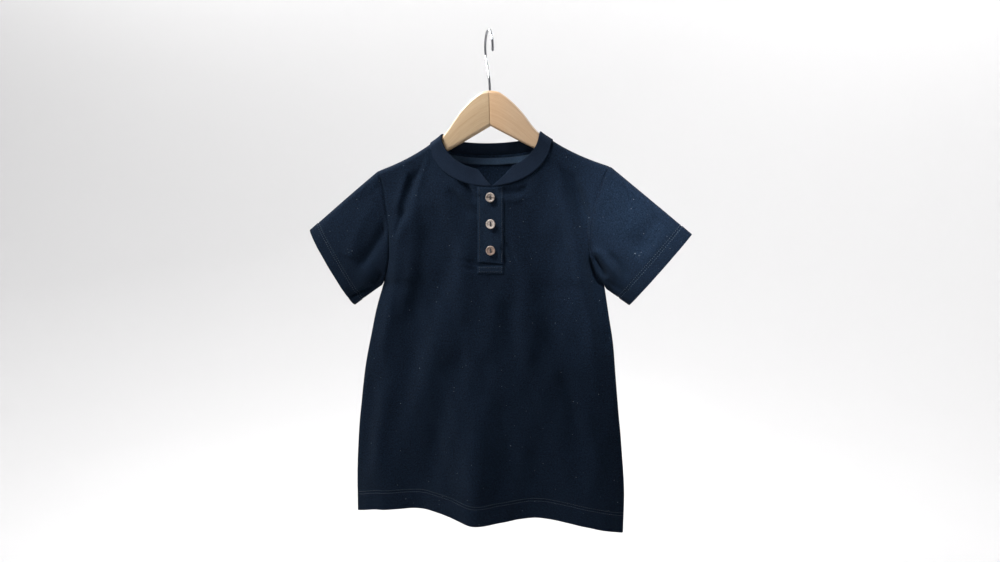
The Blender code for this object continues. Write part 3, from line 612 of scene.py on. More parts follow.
@dataclass(frozen=True)
class Knit:
    """Navy cotton knit: jersey where `ribs` is 0, ribbed across its length where not."""

    name: str
    colour: tuple[float, float, float]
    heather: float = 0.30           # how far single yarns are lighter
    patches: float = 0.16           # soft unevenness of the dye
    wale: float = 1.05              # width of one column of stitches in mm
    course: float = 0.8             # height of one row
    relief: float = 0.00022
    ribs: float = 0.0               # pitch of the ribs in mm
    lint: float = 0.0               # amount of light fluff
    wrong_side: float = 0.9         # how much lighter the wrong side is
    rough: float = 0.88
    fluff: tuple[float, float, float] = (0.30, 0.34, 0.38)
    sheen: tuple[float, float, float] = (0.55, 0.74, 0.95)

    def make(self) -> bpy.types.Material:
        """Material with knit relief, heather and fluff."""
        t = Tree(self.name)
        mm = t.cloth_mm()
        yarn = t.noise(t.stretched(mm, (0.85, 1.25, 1.0)), 1.0, 3.0, 0.7)
        cloud = t.noise(mm, 0.045, 3.0, 0.55)
        drift = t.noise(t.stretched(mm, (1.0, 0.2, 1.0)), 0.05, 2.0)
        fleck = t.noise(mm, 0.45, 2.0, 0.65)
        level = (1 - self.heather * 0.5 + self.heather * yarn.above(0.32, 0.70)
                 + self.heather * 1.7 * (fleck - 0.5)
                 + self.heather * t.noise(mm, 0.8, 1.0).above(0.60, 0.76) * 1.1
                 + self.patches * (cloud - 0.5) + self.patches * (drift - 0.5))
        level = level * (1 + t.value("wrong_side") * self.wrong_side)
        shade = t.node("CombineColor", {}, {"Red": level, "Green": level, "Blue": level})
        colour = t.mix(1.0, self.colour, shade, "MULTIPLY")
        if self.lint:
            dots, pick = (t.node("TexVoronoi", {"feature": "F1"},
                                 {"Vector": mm, "Scale": 0.2, "Randomness": 1.0}, out=out)
                          for out in ("Distance", "Color"))
            chosen = t.node("SeparateColor", {}, {"Color": pick}).above(0.45, 1.0) ** 2.5 + 0.04
            size = t.node("SeparateColor", {}, {"Color": pick}, out=1) * 0.04 + 0.05
            dust = chosen * (1 - (dots / size).above(0.8, 1.2))
            colour = t.mix(dust * self.lint, colour, self.fluff)
        pitch = self.ribs or self.wale
        across = t.node("SeparateXYZ", {}, {"Vector": mm}) * (2 * math.pi / pitch)
        down = t.node("SeparateXYZ", {}, {"Vector": mm}, out=1)
        if self.ribs:
            relief = across.sine() * 0.5
        else:
            slant = across.sine().size()
            relief = slant * 0.5 + (down * (2 * math.pi / self.course) + slant * 2.2).sine() * 0.3
        height = relief + (yarn - 0.5) * 1.4
        return t.principled(Base_Color=colour, Roughness=self.rough,
                            Normal=t.bump(height, self.relief), Sheen_Weight=0.02,
                            Sheen_Roughness=0.4, Sheen_Tint=self.sheen,
                            Specular_IOR_Level=0.03)


@dataclass(frozen=True)
class Thread:
    """Sewing thread, a little lighter than the cloth."""

    name: str
    colour: tuple[float, float, float]
    rough: float = 0.6

    def make(self) -> bpy.types.Material:
        """Plain dull thread."""
        return Tree(self.name).principled(Base_Color=self.colour, Roughness=self.rough,
                                          Sheen_Weight=0.2, Specular_IOR_Level=0.3)


@dataclass(frozen=True)
class ButtonGrain:
    """Natural button: bands of grain, or mottled marks.

    Args:
        name: the material's name.
        pale, dark: its two colours.
        banded: 1 for a straight band of grain, 0 for mottling.
        shift: moves the pattern, so that no two buttons match.
    """

    name: str
    pale: tuple[float, float, float]
    dark: tuple[float, float, float]
    banded: float
    shift: float
    rubbed: tuple[float, float, float] = (0.50, 0.43, 0.37)     # colour of the worn rim

    def make(self) -> bpy.types.Material:
        """Material drawn on the button's own face coordinates."""
        t = Tree(self.name)
        x, y = t.value("face_x"), t.value("face_y")
        spot = t.node("CombineXYZ", {}, {"X": x, "Y": y, "Z": self.shift})
        fine = t.noise(t.stretched(spot, (0.25, 1.6, 1.0)), 1.0, 4.0, 0.6)
        marks = t.noise(spot, 0.55, 3.0, 0.6).above(0.52, 0.66)
        lean = y + x * 0.12 + (fine - 0.5) * 1.6
        band = 1 - lean.size().above(0.3, 1.5)
        tone = fine.above(0.35, 0.75) * 0.45 + band * self.banded * 0.8 + marks * (
            1 - self.banded) * 0.75
        worn = x * x + y * y
        colour = t.mix(tone.math("MINIMUM", tone, 1.0), self.pale, self.dark)
        rim = worn.above(21.0, 27.0) * 0.25     # square of the distance from the middle, in mm
        colour = t.mix(rim, colour, self.rubbed)
        return t.principled(Base_Color=colour, Roughness=0.36 + fine * 0.2,
                            Normal=t.bump(fine + marks, 0.00008), Coat_Weight=0.25,
                            Coat_Roughness=0.2)


@dataclass(frozen=True)
class VarnishedWood:
    """Pale hardwood under clear varnish, its grain along the arm."""

    name: str
    pale: tuple[float, float, float]
    dark: tuple[float, float, float]
    shift: float                    # moves the grain, so that the arms differ
    warm: float                     # how far it is oranger next to the joint
    pore: tuple[float, float, float] = (0.27, 0.155, 0.075)
    orange: tuple[float, float, float] = (0.47, 0.255, 0.105)

    def make(self) -> bpy.types.Material:
        """Material drawn on coordinates that run with the arm."""
        t = Tree(self.name)
        run, y, z = t.value("grain_x"), t.value("grain_y"), t.value("grain_z")
        spot = t.node("CombineXYZ", {}, {"X": run * 0.06 + self.shift, "Y": y, "Z": z})
        bend = t.noise(spot, 0.09, 2.0)
        lines = t.noise(t.stretched(spot, (0.6, 1.0, 1.0)), 1.1, 4.0, 0.62)
        broad = t.noise(t.stretched(spot, (0.5, 1.0, 1.0)), 0.2, 3.0, 0.5)
        pores = t.noise(t.stretched(spot, (3.0, 2.6, 2.6)), 2.2, 2.0, 0.5).above(0.62, 0.74)
        tone = lines.above(0.34, 0.74) * 0.5 + broad.above(0.3, 0.72) * 0.38 + (bend - 0.5) * 0.3
        colour = t.mix(tone, self.pale, self.dark)
        colour = t.mix(pores * 0.4, colour, self.pore)
        if self.warm:
            joint = (1 - run.above(4.0, 34.0)) * self.warm
            colour = t.mix(joint, colour, self.orange)
        return t.principled(Base_Color=colour, Roughness=0.36 + lines * 0.16,
                            Normal=t.bump(lines, 0.00010), Coat_Weight=0.35, Coat_Roughness=0.22)


@dataclass(frozen=True)
class Chrome:
    """Bright plated wire with faint drawing marks."""

    name: str
    # darker than plated metal: painted dark reflection, for surroundings that the white studio
    # lacks
    colour: tuple[float, float, float] = (0.29, 0.30, 0.32)

    def make(self) -> bpy.types.Material:
        """Metal with a slightly uneven polish."""
        t = Tree(self.name)
        place_mm = t.node("TexCoord", out="Object")
        smear = t.noise(place_mm, 320.0, 3.0, 0.6)
        return t.principled(Base_Color=self.colour, Metallic=1.0,
                            Roughness=0.13 + smear * 0.14)


# ---- meshes -----------------------------------------------------------------------
def linked(name: str, data: bpy.types.ID) -> bpy.types.Object:
    """New object in the scene that holds the given data."""
    made = bpy.data.objects.new(name, data)
    bpy.context.scene.collection.objects.link(made)
    return made


def meshed(name: str, bm: bmesh.types.BMesh) -> bpy.types.Mesh:
    """Smooth shaded mesh of a bmesh, which is freed."""
    mesh = bpy.data.meshes.new(name)
    bm.to_mesh(mesh)
    bm.free()
    mesh.shade_smooth()
    return mesh


def store(mesh: bpy.types.Mesh, name: str, values: Array) -> None:
    """Store a number or a vector on each point of a mesh."""
    kind, key = ("FLOAT", "value") if values.ndim == 1 else ("FLOAT_VECTOR", "vector")
    attribute = mesh.attributes.new(name, kind, "POINT")
    attribute.data.foreach_set(key, values.ravel().astype(np.float32))


def bridge(bm: bmesh.types.BMesh, rings: Sequence[Sequence[bmesh.types.BMVert]]) -> None:
    """Quads from each closed ring of vertices to the next."""
    for low, high in zip(rings, rings[1:]):
        for k, m in zip(range(len(low)), (*range(1, len(low)), 0)):
            bm.faces.new((low[k], low[m], high[m], high[k]))


def modified(made: bpy.types.Object) -> bpy.types.Mesh:
    """New mesh of an object with its modifiers applied."""
    return bpy.data.meshes.new_from_object(
        made.evaluated_get(bpy.context.evaluated_depsgraph_get()))


def place(name: str, mesh: bpy.types.Mesh, slot: str, finish: bpy.types.Material,
          *nodes: str) -> bpy.types.Object:
    """Put a finished mesh in the frame as one piece of the shirt.

    Args:
        name: the piece's name.
        mesh: its mesh, in metres, in the object's frame.
        slot: the record's material slot it is finished from; not used.
        finish: its material.
        nodes: the CAD nodes that it stands for.

    Returns:
        The object.
    """
    piece = linked(name, mesh)
    mesh.materials.clear()
    mesh.materials.append(finish)
    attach(piece, BODY)
    if nodes:
        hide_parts(*nodes)
    LOG.info("%s: %d faces, stands for %s", name, len(mesh.polygons), ", ".join(nodes) or "nothing")
    return piece


def grid_normals(grid: Array, wrap: bool = False) -> Array:
    """Unit normals of a grid, rows down and columns to the right."""
    if wrap:
        across = np.roll(grid, -1, axis=1) - np.roll(grid, 1, axis=1)
    else:
        across = np.gradient(grid, axis=1)
    normal = np.cross(np.gradient(grid, axis=0), across)
    return normal / np.maximum(np.linalg.norm(normal, axis=2, keepdims=True), 1e-9)


@dataclass
class Shell:
    """Thin wall between two grids of plan points.

    Args:
        outer, inner: (rows, columns, 3) grids.
        uv: (rows, columns, 2) grid of cloth coordinates in millimetres, one column
            more than the grids where they wrap; without it, the plan's x and z.
        wrap: whether the last column joins the first.
        missing: tells which cells (row, column) are left out.
    """

    outer: Array
    inner: Array
    uv: Array | None = None
    wrap: bool = False
    missing: Callable[[Array, Array], Array] | None = None

    def quads(self) -> tuple[Array, Array]:
        """Corners and cloth coordinates of the quads of both faces and of the rims."""
        uv = self.outer[..., (0, 2)] + (UV_SPAN / 2, UV_SPAN) if self.uv is None else self.uv
        rows, cols = self.outer.shape[:2]
        wide = cols if self.wrap else cols - 1
        i, j = np.meshgrid(np.arange(rows - 1), np.arange(wide), indexing="ij")
        keep = np.ones(i.shape, bool) if self.missing is None else ~self.missing(i, j)
        spots = ((0, 0), (0, 1), (1, 1), (1, 0))
        beyond = ((-1, 0), (0, 1), (1, 0), (0, -1))     # the cell past each side
        count = rows * cols

        def index(di: int, dj: int) -> Array:
            """Vertex of one corner of each cell, `di` down and `dj` to the right."""
            return (i + di) * cols + (j + dj) % cols

        ring = np.stack([index(*spot) for spot in spots], axis=-1)[keep]
        ring_uv = np.stack([uv[i + di, j + dj] for di, dj in spots], axis=-2)[keep]
        rims, rim_uv = [], []
        padded = np.zeros((rows + 1, wide + 2), bool)
        padded[1:-1, 1:-1] = keep
        if self.wrap:
            padded[1:-1, 0], padded[1:-1, -1] = keep[:, -1], keep[:, 0]
        for a, b, (di, dj) in zip(spots, (*spots[1:], spots[0]), beyond):
            edge = keep & ~padded[1 + di:rows + di, 1 + dj:wide + 1 + dj]
            near, far = index(*a)[edge], index(*b)[edge]
            rims.append(np.stack((far, near, near + count, far + count), axis=-1))
            uv_a, uv_b = (uv[i + s[0], j + s[1]][edge] for s in (a, b))
            rim_uv.append(np.stack((uv_b, uv_a, uv_a, uv_b), axis=-2))
        return (np.concatenate([ring, ring[:, ::-1] + count, *rims]),
                np.concatenate([ring_uv, ring_uv[:, ::-1], *rim_uv]))

    def mesh(self, name: str) -> bpy.types.Mesh:
        """Closed mesh in metres with its cloth coordinates; `wrong_side` is 1 on the inside."""
        faces, uvs = self.quads()
        verts = FORM.hang(np.concatenate([self.outer.reshape(-1, 3), self.inner.reshape(-1, 3)]))
        made = bpy.data.meshes.new(name)
        made.from_pydata((verts * MM).tolist(), [], faces.tolist())
        layer = made.uv_layers.new(name="cloth")
        layer.data.foreach_set("uv", (uvs.reshape(-1, 2) / UV_SPAN).ravel().astype(np.float32))
        store(made, "wrong_side", np.repeat((0.0, 1.0), len(verts) // 2))
        clean = bmesh.new()
        clean.from_mesh(made)
        bpy.data.meshes.remove(made)
        loose = [vert for vert in clean.verts if not vert.link_faces]
        bmesh.ops.delete(clean, geom=loose, context="VERTS")
        bmesh.ops.recalc_face_normals(clean, faces=clean.faces[:])
        return meshed(name, clean)


def flat_size(outer: Array, wrap: bool) -> tuple[tuple[float, float], float]:
    """Flat width and length that hold a cloth, and its flat area.

    Args:
        outer: (rows, columns, 3) grid in metres.
        wrap: whether its rows are closed rings.

    Returns:
        ((width, length), area), in metres and square metres.
    """
    rings = closed(outer) if wrap else outer
    width = float(spans(rings, 1).sum(axis=1).max())
    length = float(spans(outer).sum(axis=0).max())
    across, down = np.diff(rings, axis=1)[:-1], np.diff(rings, axis=0)[:, :-1]
    return (width, length), float(np.linalg.norm(np.cross(across, down), axis=-1).sum())


# ---- hanging cloths ----------------------------------------------------------------
@dataclass(frozen=True)
class Hem:
    """Deep hem with twin stitching; heights in millimetres above the edge.

    Args:
        rows: heights at which the grid has rows, from the top.
        twin: heights of the two rows of stitching.
        fold: height at which the turned-in cloth ends.
        swell: how far the doubled cloth stands out.
        dip: how far the stitching pulls in.
        pucker: how often the stitching pulls harder, and how often that changes.
    """

    rows: tuple[float, ...]
    twin: tuple[float, float]
    fold: float
    swell: float
    dip: float
    pucker: tuple[float, float]

    def drawn(self, dip: Array, height: Array, walk: Array) -> Array:
        """A grid's dip with the hem's own, at heights over the edge and lengths along it."""
        uneven = 1 + 0.35 * np.sin(walk * self.pucker[0] + 2 * np.sin(walk * self.pucker[1]))
        dip = dip + self.dip * uneven * bell((height - sum(self.twin) / 2) / 1.1)
        return dip - self.swell * smooth((self.fold - height) / 4) * smooth((height + 2) / 2.2)


BODY_HEM = Hem(rows=(40, 34, 29.5, 27.5, 26.2, 25.2, 24.4, 23.6, 22.8, 22, 21, 19, 16, 12.5, 9, 6,
                     3.5, 1.8, 0.8, 0.0),
               twin=(25.2, 22.0), fold=25.0, swell=0.45, dip=0.55, pucker=(0.61, 0.083))
SLEEVE_HEM = Hem(rows=(29, 24.5, 21.3, 19.5, 18.3, 17.4, 16.6, 15.8, 15, 14.2, 13.2, 11, 8.5, 5.5,
                       3, 1.5, 0.6, 0.0),
                 twin=(17.4, 14.2), fold=17.3, swell=0.4, dip=0.5, pucker=(0.66, 0.09))


@dataclass(frozen=True)
class Cloth:
    """One piece of jersey that hangs from the shoulders and ends in a hem."""

    name: str

    HEM: ClassVar[Hem]
    WRAP: ClassVar[bool]
    ENDS: ClassVar[tuple[int, int]]     # columns that the stitching leaves out at either end

    @property
    def sign(self) -> int:
        """-1 or +1: where its outer side faces."""
        raise NotImplementedError

    def grid(self) -> Array:
        """Outer plan points, rows down to the hem's edge."""
        raise NotImplementedError

    def shell(self) -> Shell:
        """The cloth's wall."""
        raise NotImplementedError

    def stitch_paths(self) -> list[Row]:
        """Twin rows along the hem."""
        outer = self.grid()
        first = len(outer) - len(self.HEM.rows)
        return [grid_row(outer, first + self.HEM.rows.index(height), -self.sign, self.WRAP,
                         self.ENDS) for height in self.HEM.twin]

    def cut(self) -> tuple[tuple[float, float], float]:
        """Flat width and length, and flat area, in metres."""
        return flat_size(self.grid() * MM, self.WRAP)

    def build(self, finish: bpy.types.Material) -> bpy.types.Object:
        """Dress the cloth."""
        mesh = self.shell().mesh(self.name)
        return place(f"{self.name}_cloth", mesh, "jersey", finish, self.name)


@dataclass(frozen=True)
class Panel(Cloth):
    """Front or back of the body."""

    HEM = BODY_HEM
    WRAP = False
    ENDS = (2, 2)

    face: Face
    slot_half: float = 10.0         # the front is slit this far each side of the middle
    slot_foot_z: float = -266.0
    slot_cells: int = 4             # and this many columns of the grid
    neck_steps: int = 40            # columns on half the neck edge
    shoulder_steps: int = 30        # columns on one shoulder
    neck_share: float = 10.0        # share of half the hem that hangs from the neck edge
    shoulder_share: float = 7.0     # and from the shoulder
    shoulder_close: tuple[float, float] = (6.85, 6.92)  # last columns before its tip
    arm_step: float = 0.0165        # rows beside the armhole, as a part of its height
    low_rows: int = 62
    fan_part: float = 0.75          # the columns fan out over this part of the armhole
    widen_from: float = 0.8         # from here the half-width eases to the side seam's
    tuck: float = 1.6               # the neck edge goes on up inside the collar band
    tuck_over: float = 6.0          # and comes to that from its ends over this width
    groove: float = 0.25            # how far the cloth turns in at a seam
    welt: float = 0.45              # how far it swells below the collar's seam
    level_mm: float = 140.0         # the armhole's height, which measures levels below it too
    level_soft: float = 0.2         # the kink at the underarm is smoothed over this much of it
    eased_part: float = 0.55        # outside this part of the half-width it fades back in
    eased_level: float = 0.4        # and above this level
    seam_half: float = 1.2          # half-width of the turn at a seam
    welt_at: float = 1.7            # the swelling is this far below the collar's seam
    welt_half: float = 1.1

    @property
    def sign(self) -> int:
        """-1 in front, +1 behind."""
        return self.face.value

    def columns(self) -> tuple[Array, Array, Array]:
        """Top x, top z and low part of each column, left to right."""
        drop = FORM.neck_drop(self.face)
        last = math.acos(self.slot_half / FORM.neck_x)
        near = [math.asin(min(FORM.ridge_half * (1 - math.cos(math.radians(turn))) / drop, 1))
                for turn in (0, 22.5, 45, 67.5, 90)]
        coarse = near + [near[-1] + (last - near[-1]) * k / 6 for k in range(1, 7)]
        turns = Profile(tuple((self.neck_share - k, turn) for k, turn in enumerate(coarse)))
        q = np.linspace(0, self.neck_share, self.neck_steps + 1)
        x, z = FORM.neck_edge(turns(q), FORM.neck_x, drop)
        spread = np.concatenate([np.linspace(0, self.shoulder_close[0], self.shoulder_steps)[1:],
                                 (self.shoulder_close[1], self.shoulder_share)])
        out_x = FORM.neck_x + (FORM.shoulder_x - FORM.neck_x) * spread / self.shoulder_share
        x, z = np.concatenate([x, out_x]), np.concatenate([z, FORM.ridge_z(out_x)])
        first = self.slot_half / FORM.chest_half
        share = np.concatenate([q, self.neck_share + spread])
        low = first + (1 - first) * share / (self.neck_share + self.shoulder_share)
        inner = np.linspace(-1, 1, 9)[1:-1] * self.slot_half
        return (np.concatenate([-x[::-1], inner, x]),
                np.concatenate([z[::-1], FORM.neck_z(inner, self.face), z]),
                np.concatenate([-low[::-1], inner / FORM.chest_half, low]))

    def arm_rows(self) -> Array:
        """Parts of the armhole's height at which there are rows."""
        near = (0, 0.001, 0.004, 0.009, 0.0155, 0.024, 0.033, 0.043, 0.055)
        return np.concatenate([near, np.linspace(0.07, 1.0, round(0.93 / self.arm_step))])

    def plan(self) -> tuple[Array, Array, Array]:
        """Plan x, z and part of the half-width of the whole grid."""
        top_x, top_z, low = self.columns()
        sign = np.sign(low)
        value = self.arm_rows()[:, None]
        z_arm = top_z + (FORM.underarm_z - top_z) * value
        z_arm[0] += self.tuck * smooth((FORM.neck_x - np.abs(top_x)) / self.tuck_over)
        ease = smooth(value / self.fan_part)
        part_arm = (1 - ease) * top_x / FORM.shoulder_x + ease * low
        reach = self.reach(value, sign)
        hem = HEM_Z[self.face](low)
        start = hem + self.HEM.rows[0]
        steps = np.linspace(0, 1, self.low_rows + 1)[1:-1, None]
        z_low = np.concatenate([FORM.underarm_z + (start - FORM.underarm_z) * steps,
                                hem + np.array(self.HEM.rows)[:, None]])
        part_low = np.broadcast_to(low, z_low.shape)
        x = np.concatenate([part_arm * reach, part_low * FORM.side_x(z_low, sign)])
        return x, np.concatenate([z_arm, z_low]), np.concatenate([part_arm, part_low])

    def reach(self, level: Array, sign: Array) -> Array:
        """Half-width at a level: 0 to 1 down the armhole, then down the side seam."""
        start = FORM.underarm_z - 0.1       # just below the armhole
        wider = FORM.side_x(np.array(start), sign) - FORM.chest_half
        arm = FORM.arm_x(np.clip(level, 0, 1), sign, self.face)
        arm = arm + wider * np.clip((level - self.widen_from) / (1 - self.widen_from), 0, 1)
        z = start - self.level_mm * np.maximum(level - 1, 0)
        low = FORM.side_x(z, sign)
        return np.where(level < 1, arm, low)

    def eased(self, z: Array, part: Array) -> Array:
        """Part of the half-width, its kink at the underarm smoothed away inside the panel."""
        rows, sign = len(self.arm_rows()), np.sign(part[-1])
        low = 1 + (FORM.underarm_z - z[rows:]) / self.level_mm
        level = np.concatenate([np.broadcast_to(self.arm_rows()[:, None], z[:rows].shape), low])
        shifts = np.linspace(-self.level_soft, self.level_soft, 17)
        soft = sum(self.reach(level + shift, sign) for shift in shifts) / len(shifts)
        side, low_from = self.eased_part, self.eased_level
        inside = (1 - smooth((np.abs(part) - side) / (1 - side))) * smooth((level - low_from) / 0.3)
        return part * (1 + inside * (self.reach(level, sign) / soft - 1))

    def seam_dip(self, x: Array, z: Array, part: Array) -> Array:
        """How far the cloth turns in at its seams and swells at its hem."""
        reach = np.abs(x / np.where(np.abs(part) < 1e-6, 1e-6, part))
        from_side = (1 - np.abs(part)) * reach
        above = z > FORM.underarm_z - 4
        dip = np.where(above, self.groove * bell(from_side / self.seam_half), 0.0)
        welt = self.welt * bell((FORM.neck_z(x, self.face) - z - self.welt_at) / self.welt_half)
        dip -= np.where(np.abs(x) < FORM.neck_x, welt, 0.0)
        return self.HEM.drawn(dip, z - HEM_Z[self.face](part), x)

    def grid(self) -> Array:
        """Outer plan points, rows down to the hem's edge."""
        x, z, part = self.plan()
        depth = FORM.stand(self.face, x, z, self.eased(z, part))
        depth = np.maximum(depth - self.seam_dip(x, z, part), 0.15)
        top_x = self.columns()[0]
        depth[0, np.abs(top_x) >= FORM.neck_x - 0.01] = 0.15
        depth[len(self.arm_rows()) - 1:, (0, -1)] = 0.0
        return np.stack((x, self.sign * depth, z), axis=-1)

    def armhole(self, side: Side) -> Array:
        """Outer points of the edge that a sleeve is sewn to, top to bottom."""
        return self.grid()[:len(self.arm_rows()), 0 if side is Side.LEFT else -1]

    def shell(self) -> Shell:
        """The panel's wall."""
        outer = self.grid()
        normal = grid_normals(outer) * -self.sign
        low = len(self.arm_rows()) - 1
        normal[low:, (0, -1), 1] = 0.0
        top_x = self.columns()[0]
        normal[0, np.abs(top_x) >= FORM.neck_x - 0.01, 1] = 0.0
        inner = outer - unit(normal) * FORM.cloth
        for edge, pick in ((0, np.maximum), (-1, np.minimum)):
            inner[:, edge, 0] = pick(inner[:, edge, 0], outer[:, edge, 0])
        middle = outer.shape[1] // 2
        foot = int(np.argmax(outer[:, middle, 2] < self.slot_foot_z))

        def slot(i: Array, j: Array) -> Array:
            """Whether cells lie in the slit under the placket."""
            return (i < foot) & (j >= middle - self.slot_cells) & (j < middle + self.slot_cells)

        return Shell(outer, inner, missing=slot if self.face is Face.FRONT else None)


@dataclass(frozen=True)
class Sleeve(Cloth):
    """Short sleeve: a flattened tube of jersey, open at both ends.

    Args:
        side: which sleeve.
        edges: the armhole's edges on the front and the back panel, from the top.
        top, foot: upper and lower corner of the opening, as x and z.
        swing: how far the opening swings back.
    """

    HEM = SLEEVE_HEM
    WRAP = True
    ENDS = (0, 0)

    side: Side
    edges: tuple[Array, Array]
    top: tuple[float, float]
    foot: tuple[float, float]
    swing: float
    half_depth: float = 11.0        # half the opening's depth, front to back
    gap: float = 0.1                # seam between the sleeve and the body
    seam_rings: tuple[float, ...] = (0, 0.35, 0.8, 1.4, 2.2, 3.4, 5.0, 7.0)     # mm past it
    rings: int = 40
    groove: float = 0.3             # how far it turns in at the seam
    proud: float = 1.0              # it stands out over the body's edge past the seam
    tuck: float = 0.9               # the seam allowance goes on behind that edge
    fold_reach: float = 0.6         # its length against the body's half-width
    back_shift: tuple[float, float] = (9.0, -12.0)      # the folds at its back lie elsewhere
    back_share: float = 0.45        # and are this much lower
    seam_half: float = 1.2          # half-width of the turn at the seam
    proud_over: float = 4.0         # it stands out fully this far past the seam

    @property
    def sign(self) -> int:
        """-1 on the left, +1 on the right."""
        return self.side.value

    def points(self, t: Array) -> Array:
        """Outer points at parts t of the sleeve's length, one column per edge point.

        Args:
            t: (rings, columns) parts of the length.

        Returns:
            (rings, columns, 3) plan points.
        """
        side, (front, back) = self.sign, self.edges
        count = len(front)
        start = np.concatenate([front, back[-2:0:-1]])
        start[(0, count - 1), 1] = 0.0
        along = (front[:, 2] - front[0, 2]) / (front[-1, 2] - front[0, 2])
        along = np.concatenate([along, along[-2:0:-1]])
        sign = np.concatenate([np.full(count, -1.0), np.full(count - 2, 1.0)])
        lens = np.maximum(1 - np.abs(2 * along - 1) ** FORM.lens_power, 0) ** FORM.lens_round
        end_x = side * (self.top[0] + (self.foot[0] - self.top[0]) * along)
        end_z = self.top[1] + (self.foot[1] - self.top[1]) * along
        x = (start[:, 0] + side * self.gap) * (1 - t) + end_x * t
        z = start[:, 2] * (1 - t) + end_z * t
        ease = smooth(t)
        y = start[:, 1] * (1 - ease) + sign * self.half_depth * lens * ease + self.swing * t ** 2
        place_name = self.side.name.lower()
        fold = FORM.folds(place_name, x, z, self.fold_reach * t)
        behind = FORM.folds(place_name, x + self.back_shift[0], z + self.back_shift[1],
                            self.fold_reach * t)
        y = y + sign * smooth(lens) * np.where(sign < 0, fold, self.back_share * behind)
        return np.stack((x, y, z), axis=-1)

    def grid(self) -> Array:
        """Outer rings, armhole to opening, with the seam and the hem drawn in."""
        count = len(self.edges[0])
        ends = self.points(np.array([[0.0], [1.0]]) + np.zeros((2, 2 * count - 2)))
        length = np.linalg.norm(ends[1] - ends[0], axis=-1)
        near = np.array(self.seam_rings)[:, None]
        start, stop = near[-1] / length, 1 - self.HEM.rows[0] / length
        steps = np.linspace(0, 1, self.rings)[1:-1, None]
        t = np.concatenate([near / length, start + (stop - start) * steps,
                            1 - np.array(self.HEM.rows)[:, None] / length])
        outer = self.points(t)
        normal = grid_normals(outer, wrap=True) * -self.sign
        from_seam, height = t * length, (1 - t) * length
        dip = self.groove * bell(from_seam / self.seam_half) + self.tuck * (from_seam < 0.1)
        dip -= self.proud * smooth(from_seam / self.proud_over)
        walk = np.cumsum(np.linalg.norm(np.diff(ends[1], axis=0, prepend=ends[1][:1]), axis=-1))
        return outer - normal * self.HEM.drawn(dip, height, walk)[..., None]

    def shell(self) -> Shell:
        """The sleeve's wall; its first ring doesn't run back into the body."""
        outer = self.grid()
        inner = outer - grid_normals(outer, wrap=True) * -self.sign * FORM.cloth
        inner[0, :, 0] = self.sign * np.maximum(self.sign * inner[0, :, 0],
                                                self.sign * outer[0, :, 0])
        u = running(spans(closed(outer), 1).mean(axis=0))
        v = running(spans(outer).mean(axis=1))
        uv = np.stack(np.broadcast_arrays(u[None, :], -v[:, None] + UV_SPAN), axis=-1)
        return Shell(outer, inner, uv, wrap=True)


# ---- collar, plackets, tape ------------------------------------------------------------
def loft(name: str, rings: Array, uvs: Array | None = None) -> bpy.types.Mesh:
    """Closed body through rings of points.

    Args:
        name: the mesh's name.
        rings: (stations, points, 3) in millimetres of the object's frame.
        uvs: (stations, points + 1, 2) cloth coordinates in millimetres.

    Returns:
        The mesh, its ends closed by fans of triangles.
    """
    stations, points = rings.shape[:2]
    bm = bmesh.new()
    verts = [[bm.verts.new(point) for point in ring] for ring in (rings * MM).tolist()]
    layer = bm.loops.layers.uv.new("cloth")
    for i in range(stations - 1):
        for k in range(points):
            m = (k + 1) % points
            face = bm.faces.new((verts[i][k], verts[i][m], verts[i + 1][m], verts[i + 1][k]))
            if uvs is not None:
                corners = ((i, k), (i, k + 1), (i + 1, k + 1), (i + 1, k))
                for loop, corner in zip(face.loops, corners):
                    loop[layer].uv = uvs[corner] / UV_SPAN
    for i, ring in ((0, verts[0]), (stations - 1, verts[-1])):
        middle = bm.verts.new(sum((vert.co for vert in ring), Vector()) / points)
        for k in range(points):
            face = bm.faces.new((ring[k], ring[(k + 1) % points], middle))
            if uvs is not None:
                for loop, column in zip(face.loops, (k, k + 1, k)):
                    loop[layer].uv = uvs[i, column] / UV_SPAN
    bmesh.ops.recalc_face_normals(bm, faces=bm.faces[:])
    return meshed(name, bm)


